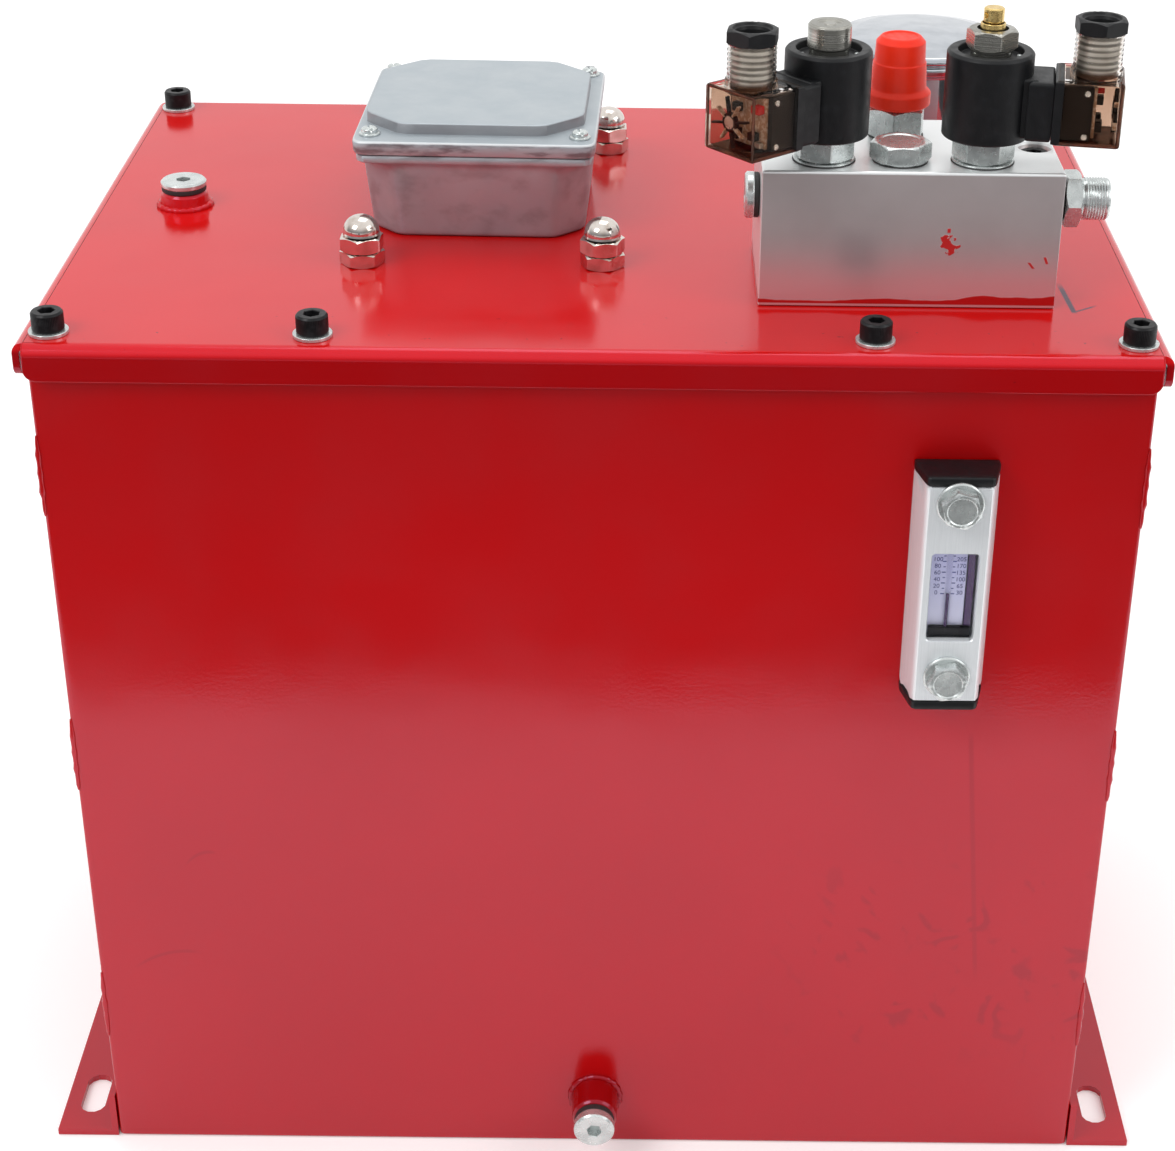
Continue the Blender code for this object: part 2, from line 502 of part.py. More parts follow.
def make_valve(side):
    """One cartridge valve with its coil, coil nut, plug-on connector and cable gland."""
    x, facing = VALVES[side]
    seat, foot, top = BLOCK_HIGH[2] + GAP, COIL_FOOT, COIL_FOOT + COIL_HEIGHT
    at = (x, VALVE_Y, 0)
    tube_top = top + 6
    body = turned(f"valve_body_{side}", [(0, tube_top), (TUBE_RADIUS, tube_top), (TUBE_RADIUS, foot - 0.8),
                                         (12, foot - 0.8), (12, 466), (9.5, 466), (9.5, 441), (0, 441)], at, ZINC)
    join(body, prism("valve_hex", 6, 12.6, foot - GAP - seat, (x, VALVE_Y, seat), spin=math.radians(8)))
    cut(body, prism("plunger_bore", 12, 4, tube_top - 4 - 440, (x, VALVE_Y, 440)))
    turned(f"plunger_{side}", [(0, 480), (3.6, 480), (3.6, 456), (0, 456)], at, BRIGHT_STEEL, steps=12)

    bore = TUBE_RADIUS + GAP
    coil = turned_ring(f"coil_{side}", [(bore, top - 3), (12.2, top - 3), (12.8, top), (16.9, top),
                                        (COIL_RADIUS, top - 0.6),
                                        (COIL_RADIUS, foot), (bore, foot)], at, BLACK_PLASTIC, steps=24)
    arm = block("coil_arm", (12, -12, 478), (26, 12, 502))
    arm.location = Vector(at) * MM + Matrix.Rotation(facing, 3, "Z") @ arm.location
    arm.rotation_euler = (0, 0, facing)
    join(coil, arm)

    nut_top = 521 if side == "left" else 519.5
    nut_foot = top - 3 + GAP
    inner = TUBE_RADIUS + GAP
    if side == "left":
        nut = [(0, nut_top), (8, nut_top), (8.8, nut_top - 0.8), (8.8, nut_foot), (inner, nut_foot),
               (inner, tube_top + GAP), (0, tube_top + GAP)]
        turned("coil_nut_left", nut, at, ZINC)
    else:
        nut = [(2.2, nut_top), (8.9, nut_top), (9.7, nut_top - 0.8), (9.7, nut_foot), (inner, nut_foot),
               (inner, tube_top + GAP), (2.2, tube_top + GAP)]
        turned_ring("coil_nut_right", nut, at, ZINC)
        cut(body, prism("knob_pin_hole", 12, 2.2, 8, (x, VALVE_Y, tube_top - 6)))
        base = nut_top + 2.6
        outline = [(0, 527.8), (3.6, 527.8), (4.2, 527.1), (4.2, base), (1.8, base), (1.8, tube_top - 8),
                   (0, tube_top - 8)]
        knob = turned("lowering_knob", outline, at, BRASS, steps=12)
        cut(knob, prism("knob_cross_hole", 8, 0.8, 12, (x - 6, VALVE_Y, 525.2), turn=TO_RIGHT))

    make_connector(side, at, facing)


def make_connector(side, at, facing):
    """The plug-on cable connector, square in plan, with its round neck and hexagon gland nut."""
    spin = Matrix.Rotation(facing, 3, "Z")
    neck = Vector(at) * MM + spin @ Vector((42 * MM, 0, 0))
    neck_at = (neck.x / MM, neck.y / MM, 503)
    case = block(f"connector_{side}", (26.4, -14, 477), (53.5, 14, 503.5), SMOKE)
    case.location = Vector(at) * MM + spin @ case.location
    case.rotation_euler = (0, 0, facing)
    edges = case.modifiers.new("rounding", "BEVEL")
    edges.width = 2 * MM
    edges.segments = 1
    join(case, prism("connector_neck", 16, 10.5, 17, neck_at))
    cut(case, prism("cable_way", 16, 6, 30, (neck_at[0], neck_at[1], 492)))

    nut_at = (neck_at[0], neck_at[1], 520 + GAP)
    nut = prism(f"gland_nut_{side}", 6, 19 / math.sqrt(3), 5.7, nut_at, BLACK_PLASTIC,
                spin=facing + math.radians(10))
    cut(nut, prism("gland_bore", 16, 6, 12, (neck_at[0], neck_at[1], 518)))


# ---------------------------------------------------------------- level gauge

def make_gauge():
    """An aluminium housing with its window, two end caps, and the two hollow bolts that hold it."""
    wall = -TANK_DEPTH / 2 - GAP
    half_back, half_front, chamfer = 17.25, 14, 3
    front = wall - GAUGE_DEPTH
    section = [(-half_back, wall), (-half_back, wall - 3), (-half_front, front + chamfer), (-half_front + 2, front),
               (half_front - 2, front), (half_front, front + chamfer), (half_back, wall - 3), (half_back, wall)]

    def slice_of(name, low, high, finish):
        return extruded(name, section, high - low, (GAUGE_X, 0, (low + high) / 2), finish)

    housing = slice_of("gauge_housing", GAUGE_LOW, GAUGE_HIGH, ANODISED)
    slice_of("gauge_cap_bottom", GAUGE_LOW - 4, GAUGE_LOW - GAP, BLACK_PLASTIC)
    slice_of("gauge_cap_top", GAUGE_HIGH + GAP, GAUGE_HIGH + 4, BLACK_PLASTIC)
    low, high = (GAUGE_X - 9.8, front - 1, 286.3), (GAUGE_X + 9.8, wall - 5, 326.7)
    cut(housing, block("window_slot", low, high))
    glass_low, glass_high = [v + GAP for v in low], [v - GAP for v in high]
    glass_low[1] = front + 2.5
    block("gauge_window", glass_low, glass_high, GLASS)
    for name, z in (("gauge_bolt_bottom", GAUGE_BOLT_Z), ("gauge_bolt_top", GAUGE_BOLT_Z + GAUGE_PITCH)):
        at = (GAUGE_X, front - GAP, z)
        hole_at = (GAUGE_X, front - 3, z)
        cut(housing, prism("gauge_bolt_hole", 16, STUD_RADIUS + GAP, 30, hole_at, turn=TO_BACK))
        reach = GAUGE_DEPTH + SHEET + 3 * GAP
        bolt = turned(name, [(0, 7), (6, 7), (6, 1.5), (10.2, 1.5), (10.2, 0), (STUD_RADIUS, 0),
                             (STUD_RADIUS, -reach - 6), (0, -reach - 6)], at, ZINC, TO_FRONT, 12)
        head_at = (GAUGE_X, front - 1.2 - GAP, z)
        join(bolt, prism("bolt_head", 6, 14.6 / math.sqrt(3), 6, head_at, turn=TO_FRONT))
        join(bolt, prism("inner_nut", 6, 8.5, 5, (GAUGE_X, front + reach + 5 - GAP, z), turn=TO_FRONT))


# ---------------------------------------------------------------- the whole unit

make_tank()
make_feet()
collar_plug("drain_plug", 9.35, 5, 16, (DRAIN_X, -TANK_DEPTH / 2 - 20, DRAIN_Z), TO_FRONT)
make_lid()
make_gasket()
for count, (screw_x, screw_y) in enumerate(SCREW_PLACES, 1):
    cap_screw(f"lid_screw_{count}", (screw_x, screw_y, LID_TOP + GAP))
collar_plug("fill_plug", 10.2, 2.8, 13, (FILL_X, FILL_Y, FILL_BOSS_TOP + 2.2))
make_breather()
make_terminal_box()
make_motor()
make_pump()
make_pipes()
make_manifold()
make_ports()
for valve_side in VALVES:
    make_valve(valve_side)
make_gauge()
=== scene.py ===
"""The looks of a hydraulic power unit: a red oil tank with its lid, motor studs, terminal box, breather,
manifold with two solenoid valves, level gauge and plugs.  Shapes are worked out in millimetres."""
import math

import bpy
import numpy as np
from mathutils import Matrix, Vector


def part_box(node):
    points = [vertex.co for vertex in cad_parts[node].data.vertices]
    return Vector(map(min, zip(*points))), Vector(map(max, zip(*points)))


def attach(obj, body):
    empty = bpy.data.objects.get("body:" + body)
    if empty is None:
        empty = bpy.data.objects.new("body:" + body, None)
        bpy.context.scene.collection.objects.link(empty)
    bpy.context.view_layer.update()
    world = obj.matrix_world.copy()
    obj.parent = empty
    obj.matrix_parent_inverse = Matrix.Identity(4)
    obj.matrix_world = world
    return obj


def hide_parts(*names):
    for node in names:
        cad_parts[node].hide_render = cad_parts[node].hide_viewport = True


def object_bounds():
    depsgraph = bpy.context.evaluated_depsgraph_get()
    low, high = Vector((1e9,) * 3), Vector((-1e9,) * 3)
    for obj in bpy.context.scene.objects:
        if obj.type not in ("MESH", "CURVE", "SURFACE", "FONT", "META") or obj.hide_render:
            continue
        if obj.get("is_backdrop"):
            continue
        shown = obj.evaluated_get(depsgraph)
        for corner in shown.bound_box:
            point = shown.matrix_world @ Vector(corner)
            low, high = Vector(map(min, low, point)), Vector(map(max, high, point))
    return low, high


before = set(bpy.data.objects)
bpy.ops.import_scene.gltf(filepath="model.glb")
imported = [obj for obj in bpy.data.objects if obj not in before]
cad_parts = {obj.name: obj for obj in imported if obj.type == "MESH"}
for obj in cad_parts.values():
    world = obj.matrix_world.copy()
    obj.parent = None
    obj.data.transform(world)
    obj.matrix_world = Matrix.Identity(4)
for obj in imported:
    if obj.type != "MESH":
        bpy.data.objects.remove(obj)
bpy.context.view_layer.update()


# ---------------------------------------------------------------- studio
# A pale floor, a white sky that dims low down in front, three soft lamps, and a dark card laid in front
# of the tank that only shiny faces see, as a studio lays one to give glossy paint its contrast.

MM = 0.001
scene = bpy.context.scene
scene.view_settings.view_transform = "Standard"

CAMERA_AT = (19.6, -1025.0, 775.0)
CAMERA_YAW, CAMERA_PITCH, CAMERA_ROLL = -0.188, 28.403, 0.744
lens = bpy.data.cameras.new("camera")
lens.lens = 72.9
lens.sensor_width = 36
lens.shift_x = -0.0511
lens.clip_end = 50
camera = bpy.data.objects.new("camera", lens)
camera.location = [v * MM for v in CAMERA_AT]
yaw, pitch, roll = (math.radians(v) for v in (CAMERA_YAW, CAMERA_PITCH, CAMERA_ROLL))
ahead = np.array([-math.sin(yaw), math.cos(yaw), 0])
aside = np.array([math.cos(yaw), math.sin(yaw), 0])
view = ahead * math.cos(pitch) - np.array([0, 0, math.sin(pitch)])
upward = np.array([0, 0, math.cos(pitch)]) + ahead * math.sin(pitch)
right = aside * math.cos(roll) + upward * math.sin(roll)
top = upward * math.cos(roll) - aside * math.sin(roll)
camera.rotation_mode = "QUATERNION"
from_axes = Matrix([[right[i], top[i], -view[i]] for i in range(3)])
camera.rotation_quaternion = from_axes.to_quaternion()
scene.collection.objects.link(camera)
scene.camera = camera


def lamp(name, at, aim, size, watts):
    """A square soft lamp at a point, turned to face another, both in metres."""
    light = bpy.data.lights.new(name, "AREA")
    light.size = size
    light.energy = watts
    holder = bpy.data.objects.new(name, light)
    holder.location = at
    holder.rotation_euler = (Vector(aim) - Vector(at)).to_track_quat("-Z", "Y").to_euler()
    scene.collection.objects.link(holder)


lamp("key_lamp", (-1.6, -1.5, 2.2), (0, 0, 0.3), 1.2, 26)
lamp("fill_lamp", (2.0, -0.9, 1.5), (0, 0, 0.3), 1.4, 12)
lamp("back_lamp", (0.2, 1.0, 3.2), (0, 0, 0.4), 1.6, 16)


class Shade:
    """A shader socket that can be written into sums.  node() adds any other node to the same tree."""

    def __init__(self, tree, socket=None):
        self.tree, self.socket = tree, socket

    def node(self, kind, settings=(), inputs=(), output=0):
        """Add a node: its settings first, a ramp's stops among them, then its sockets' values or links."""
        made = self.tree.nodes.new(kind)
        for key, value in dict(settings).items():
            if key == "stops":
                for element, (spot, grey) in zip([*made.color_ramp.elements], value):
                    element.position, element.color = spot, (grey, grey, grey, 1)
            else:
                setattr(made, key, value)
        for key, value in dict(inputs).items():
            if isinstance(value, Shade):
                self.tree.links.new(value.socket, made.inputs[key])
            else:
                made.inputs[key].default_value = value
        return Shade(self.tree, made.outputs[output])

    def math(self, operation, *values):
        return self.node("ShaderNodeMath", {"operation": operation}, dict(enumerate(values)))

    def __add__(self, other):
        return self.math("ADD", self, other)

    def __sub__(self, other):
        return self.math("SUBTRACT", self, other)

    def __rsub__(self, other):
        return self.math("SUBTRACT", other, self)

    def __mul__(self, other):
        return self.math("MULTIPLY", self, other)

    def __truediv__(self, other):
        return self.math("DIVIDE", self, other)

    def __rtruediv__(self, other):
        return self.math("DIVIDE", other, self)

    __radd__, __rmul__ = __add__, __mul__

    def most(self, other):
        return self.math("MAXIMUM", self, other)

    def fraction(self):
        return self.math("FRACT", self)

    def off_whole(self):
        """How far this is from the nearest whole number."""
        return self - self.math("ROUND", self)

    def __abs__(self):
        return self.math("ABSOLUTE", self)

    def place(self):
        """The point's own x, y and z, in millimetres."""
        spot = self.node("ShaderNodeTexCoord", output="Object")
        apart = self.node("ShaderNodeSeparateXYZ", (), {0: spot})
        outputs = apart.socket.node.outputs
        return [Shade(self.tree, outputs[i]) * 1000.0 for i in range(3)]

    def noise(self, grain, detail=3.0, stretch=(1, 1, 1), rough=0.5):
        """Cloudy grey, with lumps about grain millimetres across, drawn out by stretch."""
        spot = self.node("ShaderNodeTexCoord", output="Object")
        scale = [1000.0 / grain / s for s in stretch]
        wide = self.node("ShaderNodeMapping", (), {"Vector": spot, "Scale": scale})
        return self.node("ShaderNodeTexNoise", (),
                         {"Vector": wide, "Scale": 1.0, "Detail": detail, "Roughness": rough})

    def ramp(self, low, high, low_grey=0.0, high_grey=1.0):
        """This value from low to high, turned into a grey between two others, and held past its ends."""
        limits = {1: low, 2: high, 3: low_grey, 4: high_grey}
        return self.node("ShaderNodeMapRange", {"interpolation_type": "SMOOTHSTEP"}, {0: self, **limits})

    def mix(self, first, second):
        """One colour where this is 0, the other where it is 1."""
        paints = {6: first, 7: second}
        return self.node("ShaderNodeMix", {"data_type": "RGBA"}, {0: self, **paints}, output=2)

    def bump(self, depth):
        """A normal for heights of up to depth millimetres."""
        return self.node("ShaderNodeBump", (), {"Height": self, "Distance": depth * MM, "Strength": 1.0})


def finish(name, make):
    """A material: make is given the tree's Shade and returns the shader's sockets, values or links."""
    material = bpy.data.materials.new(name)
    material.use_nodes = True
    tree = material.node_tree
    shader = tree.nodes["Principled BSDF"]
    for key, value in make(Shade(tree)).items():
        if isinstance(value, Shade):
            tree.links.new(value.socket, shader.inputs[key])
        else:
            shader.inputs[key].default_value = value
    return material


def rgb(red, green, blue):
    return (red, green, blue, 1.0)


world = bpy.data.worlds.new("sky")
world.use_nodes = True
sky = Shade(world.node_tree)
apart = sky.node("ShaderNodeSeparateXYZ", (), {0: sky.node("ShaderNodeTexCoord", output="Generated")})
outputs = apart.socket.node.outputs
overhead = Shade(sky.tree, outputs["Z"]).ramp(0.02, 0.75)
behind = Shade(sky.tree, outputs["Y"]).ramp(-0.15, 0.25)
tone = overhead.most(behind).mix(rgb(0.3, 0.3, 0.32), rgb(1, 1, 1))
backdrop = world.node_tree.nodes["Background"]
sky.tree.links.new(tone.socket, backdrop.inputs["Color"])
backdrop.inputs["Strength"].default_value = 1.0
scene.world = world


def floor_paint(ink):
    """Pale matt floor with the faintest clouds."""
    cloud = ink.noise(600, 2)
    return {"Base Color": cloud.mix(rgb(0.88, 0.88, 0.88), rgb(0.9, 0.9, 0.9)), "Roughness": 0.85,
            "Emission Color": rgb(1, 1, 1), "Emission Strength": 0.18}


def skin(name, points, material, closed=False, sharp=38, at=(0, 0, 0), turn=None):
    """A mesh from a grid of rings: points[ring, step] in millimetres, each ring a loop that runs
    anticlockwise seen from above while the rings climb the outside.  Neighbours are joined by quads.
    The first and last rings are covered by one face each, or joined to each other if closed."""
    points = np.asarray(points, float)
    if turn is not None:
        points = points @ np.asarray(turn, float).T
    points = (points + np.asarray(at, float)) * MM
    count, steps = points.shape[:2]
    index = np.arange(count * steps).reshape(count, steps)
    ring = index if closed else index[:-1]
    above = np.roll(index, -1, 0) if closed else index[1:]
    quads = np.stack([ring, np.roll(ring, -1, 1), np.roll(above, -1, 1), above], -1).reshape(-1, 4)
    faces = quads.tolist()
    if not closed:
        faces += [index[0][::-1].tolist(), index[-1].tolist()]
    mesh = bpy.data.meshes.new(name)
    mesh.from_pydata(points.reshape(-1, 3).tolist(), [], faces)
    mesh.materials.append(material)
    mesh.shade_smooth()
    mesh.set_sharp_from_angle(angle=math.radians(sharp))
    piece = bpy.data.objects.new(name, mesh)
    scene.collection.objects.link(piece)
    return piece


FLOOR_HALF = 6000.0
FLOOR_DROP = 0.4
floor_ring = np.array([[-1, -1], [1, -1], [1, 1], [-1, 1]]) * FLOOR_HALF
floor_points = [np.c_[floor_ring, np.full(4, z)] for z in (-20.0, -FLOOR_DROP)]
floor = skin("floor", floor_points, finish("floor_paint", floor_paint))
floor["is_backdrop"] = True


def card_paint(ink):
    """Matt black card."""
    cloud = ink.noise(400, 2)
    return {"Base Color": cloud.mix(rgb(0.012, 0.012, 0.012), rgb(0.02, 0.02, 0.02)), "Roughness": 0.9}


CARD_NEAR, CARD_FAR, CARD_HALF, CARD_RISE = -560.0, -3000.0, 2200.0, 4.0
card_ring = np.array([[-CARD_HALF, CARD_FAR], [CARD_HALF, CARD_FAR], [CARD_HALF, CARD_NEAR],
                      [-CARD_HALF, CARD_NEAR]])
card_points = [np.c_[card_ring, np.full(4, z)] for z in (CARD_RISE - 2, CARD_RISE)]
card = skin("dark_card", card_points, finish("card_paint", card_paint))
card.visible_camera = card.visible_diffuse = card.visible_shadow = card.visible_transmission = False
card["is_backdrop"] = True


# ---------------------------------------------------------------- tank
# The tank is folded and welded from 3 mm steel sheet and sprayed with glossy red enamel.  The feet are
# angle strips along both sides, with slots for the floor bolts.

RED, DEEP_RED = rgb(0.42, 0.0008, 0.0006), rgb(0.27, 0.001, 0.0012)


def tank_paint(ink):
    """Enamel with slow waves in its gloss and fine peel, and painted shade that darkens it toward the top
    under the lid and over the upper right.  The front has smears low on the right, a drip under the gauge
    and two bowed rub marks on the left."""
    x, y, z = ink.place()
    cloud = ink.noise(90, 4).ramp(0.35, 0.7)
    wave = (ink.noise(40, 2) * 9.0 + x * 0.02).fraction()
    streak = ink.noise(14, 3, (1, 1, 1.6)).ramp(0.52, 0.62) * abs(wave - 0.5).ramp(0.3, 0.1)
    low_right = x.ramp(70, 120) * z.ramp(185, 130) * z.ramp(40, 80)
    drip = x - 166.0 + (z - 190.0) * 0.09
    mark = abs(drip).ramp(1.5, 0.5) * z.ramp(95, 110) * z.ramp(232, 225) * 0.45
    for across, up, half, lean in ((-193.0, 108.0, 17.0, 0.28), (-174.0, 163.0, 8.0, 0.45)):
        along = x - across
        bow = z - up - along * lean + along * along * (lean / half)
        mark = mark.most(abs(bow).ramp(1.3, 0.4) * abs(along).ramp(half, half * 0.5) * 0.5)
    dirt = (streak * low_right * 0.6).most(mark) * y.ramp(-145, -155)
    # Painted shade: darker red toward the top, under the lid's overhang, and over the upper right.
    high = z.ramp(290, 385) * 0.55 + x.ramp(150, 240) * z.ramp(180, 260) * 0.3
    shaded_enamel = high.mix(cloud.mix(RED, rgb(0.40, 0.0009, 0.0008)), rgb(0.315, 0.0006, 0.0005))
    colour = dirt.mix(shaded_enamel, DEEP_RED)
    peel = ink.noise(1.6, 2) * 0.5 + ink.noise(70, 2) * 6.0
    gloss = ink.noise(45, 3).ramp(0.3, 0.75, 0.13, 0.18)
    return {"Base Color": colour, "Roughness": gloss + dirt * 0.14, "Specular IOR Level": 0.68,
            "Specular Tint": rgb(1.0, 0.76, 0.98), "Normal": peel.bump(0.06)}


RED_PAINT = finish("red_enamel", tank_paint)


def soften(corners, steps=4, hold=0.25):
    """A line through (across, up, radius) corners.  Each corner is an arc of its radius, and one more
    point stands a little way off either end of the arc, so that the flats beside it stay flat."""
    corners = np.array(corners, float)
    line = [corners[0, :2]]
    for before, here, after in zip(corners[:-2], corners[1:-1], corners[2:]):
        middle, radius = here[:2], here[2]
        if radius == 0:
            line.append(middle)
            continue
        back, on = before[:2] - middle, after[:2] - middle
        back_length, on_length = np.linalg.norm(back), np.linalg.norm(on)
        back, on = back / back_length, on / on_length
        half = math.acos(np.clip(back @ on, -1, 1)) / 2
        reach = min(radius / math.tan(half), 0.48 * back_length, 0.48 * on_length)
        centre = middle + (back + on) * reach / (1 + back @ on)
        start, end = middle + back * reach - centre, middle + on * reach - centre
        swing = math.pi - 2 * half
        share = np.linspace(0, 1, steps + 1)[:, None]
        arc = centre + (np.sin((1 - share) * swing) * start + np.sin(share * swing) * end) / math.sin(swing)
        extra = min(hold, 0.02 * back_length + 0.05), min(hold, 0.02 * on_length + 0.05)
        line += [centre + start + back * extra[0], *arc, centre + end + on * extra[1]]
    line.append(corners[-1, :2])
    return np.array(line)


def polygon(angles, sides, inset=0.0, crisp=60):
    """How far the rim of a straight-sided shape is from its centre, along each angle.  Each side has a
    facing angle and a distance; the high power mean of the sides' distances rounds the corners."""
    facing, distance = np.array(sides, float).T
    facing = np.radians(facing)
    inset = np.atleast_1d(np.asarray(inset, float))[:, None, None]
    reach = np.clip(np.cos(np.asarray(angles)[:, None] - facing), 0, None)[None] / (distance - inset)
    most = reach.max(-1, keepdims=True)
    return ((reach / most) ** crisp).sum(-1) ** (-1 / crisp) / most[..., 0]


def box_sides(half_x, half_y, cut=0.0):
    """A rectangle's four sides, and the four across its corners if they are cut off."""
    sides = [(0, half_x), (90, half_y), (180, half_x), (270, half_y)]
    across = (half_x + half_y - cut) / math.sqrt(2)
    return sides + [(45 + 90 * i, across) for i in range(4)] if cut else sides


def corner_angles(half_x, half_y, even=48, close=9):
    """Angles round a rectangle, drawn together towards its corners."""
    corner = math.atan2(half_y, half_x)
    near = np.array([0.0, *(0.0015 * 1.9 ** np.arange(close))])
    corners = np.array([corner, math.pi - corner, math.pi + corner, 2 * math.pi - corner])
    drawn = np.concatenate([(corners[:, None] + near).ravel(), (corners[:, None] - near).ravel()])
    angles = np.concatenate([drawn, np.linspace(0, 2 * math.pi, even, endpoint=False)])
    return np.unique(np.round(angles % (2 * math.pi), 6))


def rings(radii, heights, angles):
    """Points on rings round +Z: radii[ring, step] at heights[ring]."""
    radii = np.broadcast_to(radii, (len(heights), len(angles)))
    heights = np.broadcast_to(np.asarray(heights, float).reshape(len(heights), -1), radii.shape)
    return np.stack([radii * np.cos(angles), radii * np.sin(angles), heights], -1)


def slab(sides, line, angles, crisp=60):
    """Rings of one straight-sided outline: line gives each ring's (inset, height)."""
    return rings(polygon(angles, sides, line[:, 0], crisp), line[:, 1], angles)


def part(piece, body, slot, *nodes):
    """Parent a finished piece to its body and hide the CAD nodes it stands for.  The slot argument is not
    used.
    """
    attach(piece, body)
    if nodes:
        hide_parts(*nodes)
    return piece


def box_of(node):
    """A CAD node's lowest and highest corners, in millimetres."""
    low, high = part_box(node)
    return np.array(low) / MM, np.array(high) / MM


SHEET = 3.0
TANK_HALF_X, TANK_HALF_Y = 225.0, 157.0
_, tank_high = box_of("tank_shell")
tank_line = soften([(100, 0, 0), (0, 0, 1.2), (0, tank_high[2], 1), (SHEET, tank_high[2], 1),
                    (SHEET, SHEET, 2),
                    (100, SHEET, 0)])
tank_angles = corner_angles(TANK_HALF_X, TANK_HALF_Y)
tank_skin = slab(box_sides(TANK_HALF_X, TANK_HALF_Y), tank_line, tank_angles, 200)
part(skin("tank_walls", tank_skin, RED_PAINT), "unit", "red_paint", "tank_shell")


def bead(name, path, radius, material, seed, closed=False):
    """A weld bead: a tube along a path, its radius rippled by the welder's steps and a little uneven."""
    path = np.asarray(path, float)
    ahead = np.gradient(path, axis=0)
    if closed:
        ahead = np.roll(path, -1, 0) - np.roll(path, 1, 0)
    ahead /= np.linalg.norm(ahead, axis=1)[:, None]
    guide = np.array([0.3, 0.2, 0.93]) if abs(ahead[:, 2]).max() < 0.8 else np.array([1.0, 0.3, 0])
    side = np.cross(ahead, guide)
    side /= np.linalg.norm(side, axis=1)[:, None]
    over = np.cross(side, ahead)
    rng = np.random.default_rng(seed)
    run = np.arange(len(path))
    swell = radius * (1 + 0.16 * np.sin(run * 2.1) + 0.12 * rng.standard_normal(len(path)))
    if not closed:
        swell *= np.sqrt(np.clip(np.minimum(run + 0.4, run[::-1] + 0.4) / 3.0, 0, 1))
    turn = np.linspace(0, 2 * math.pi, 10, endpoint=False)
    loop = np.cos(turn)[:, None, None] * side + np.sin(turn)[:, None, None] * over
    points = path[:, None] + swell[:, None, None] * loop.transpose(1, 0, 2)
    return skin(name, points, material, closed=closed, sharp=80)


WELD_STEPS, WELD_LENGTH = 14, 36.0
for side_name, side_x in (("left", -1), ("right", 1)):
    for number, weld_low in enumerate((60, 196, 330)):
        run = np.linspace(weld_low, weld_low + WELD_LENGTH, WELD_STEPS)
        corner = np.c_[np.full(WELD_STEPS, side_x * (TANK_HALF_X - 0.5)),
                       np.full(WELD_STEPS, -TANK_HALF_Y + 0.4), run]
        part(bead(f"{side_name}_corner_weld_{number + 1}", corner, 1.1, RED_PAINT, number), "unit",
             "red_paint")


def coat(node, material):
    """Give a CAD node that keeps its own shape its finish."""
    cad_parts[node].data.materials.clear()
    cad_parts[node].data.materials.append(material)


for node in ("left_foot", "right_foot"):
    coat(node, RED_PAINT)


# ---------------------------------------------------------------- lid
# The lid is one 3 mm sheet with its four edges folded down over the tank's mouth.  Its corners are
# left open, so that the ends of the side folds show.  A fill boss is welded to it.

def lid_paint(ink):
    """The tank's enamel, with a faint haze and the dark scribed corner mark beside the manifold.  Its top is
    a lighter red than the tank's walls, painted light, and its folded edges a darker red, painted shade.
    """
    x, y, z = ink.place()
    cloud = ink.noise(70, 4).ramp(0.3, 0.75)
    line = abs(x - 196.4 - (y + 112.0) * -0.05).ramp(1.5, 0.7) * y.ramp(-115, -112) * y.ramp(-78, -90)
    tick = abs(y + 112.8 - (x - 196.5) * 0.7).ramp(1.2, 0.5) * x.ramp(196, 197) * x.ramp(208, 204) * 0.8
    mark = line.most(tick)
    chip = ink.noise(3, 3).ramp(0.72, 0.76) * y.ramp(-120, -130)
    # Painted light and shade: the top is a lighter red than the tank's walls, and the folded edges below z
    # 402 to 404.5 a darker red.
    top = cloud.mix(rgb(0.58, 0.0042, 0.0035), rgb(0.54, 0.0046, 0.004))
    lit_top_shaded_folds = z.ramp(404.5, 402.0).mix(top, rgb(0.29, 0.0006, 0.0006))
    dark = mark.mix(lit_top_shaded_folds, rgb(0.03, 0.001, 0.02))
    colour = chip.mix(dark, rgb(0.16, 0.002, 0.003))
    peel = ink.noise(1.6, 2) * 0.4 + ink.noise(85, 2) * 7.0
    gloss = ink.noise(60, 3).ramp(0.3, 0.75, 0.11, 0.18)
    return {"Base Color": colour, "Roughness": gloss, "Specular IOR Level": 0.52,
            "Specular Tint": rgb(1.0, 0.6, 0.9), "Normal": peel.bump(0.05)}


LID_PAINT = finish("lid_enamel", lid_paint)


def folded(outer, thick, bend):
    """The outline of a bent sheet: its outer line with rounded bends, then back along its inner side."""
    outer = np.array(outer, float)
    runs = np.diff(outer, axis=0)
    runs /= np.linalg.norm(runs, axis=1)[:, None]
    normals = np.c_[runs[:, 1], -runs[:, 0]] * thick
    inner = [outer[0] + normals[0]]
    for corner, before, after in zip(outer[1:-1], normals[:-1], normals[1:]):
        inner.append(corner + before + after)
    inner.append(outer[-1] + normals[-1])
    radii = [0] + [bend] * (len(outer) - 2) + [0]
    tight = [0] + [bend - thick] * (len(outer) - 2) + [0]
    front = soften(np.c_[outer, radii], 6)
    back = soften(np.c_[np.array(inner), tight], 6)[::-1]
    return np.concatenate([front, back])


LID_TOP = 407.0
lid_low, lid_high = box_of("lid")
FOLD_X, FOLD_Y, BEND, LAP = TANK_HALF_X + 0.4, TANK_HALF_Y + 0.6, 5.0, 8.0


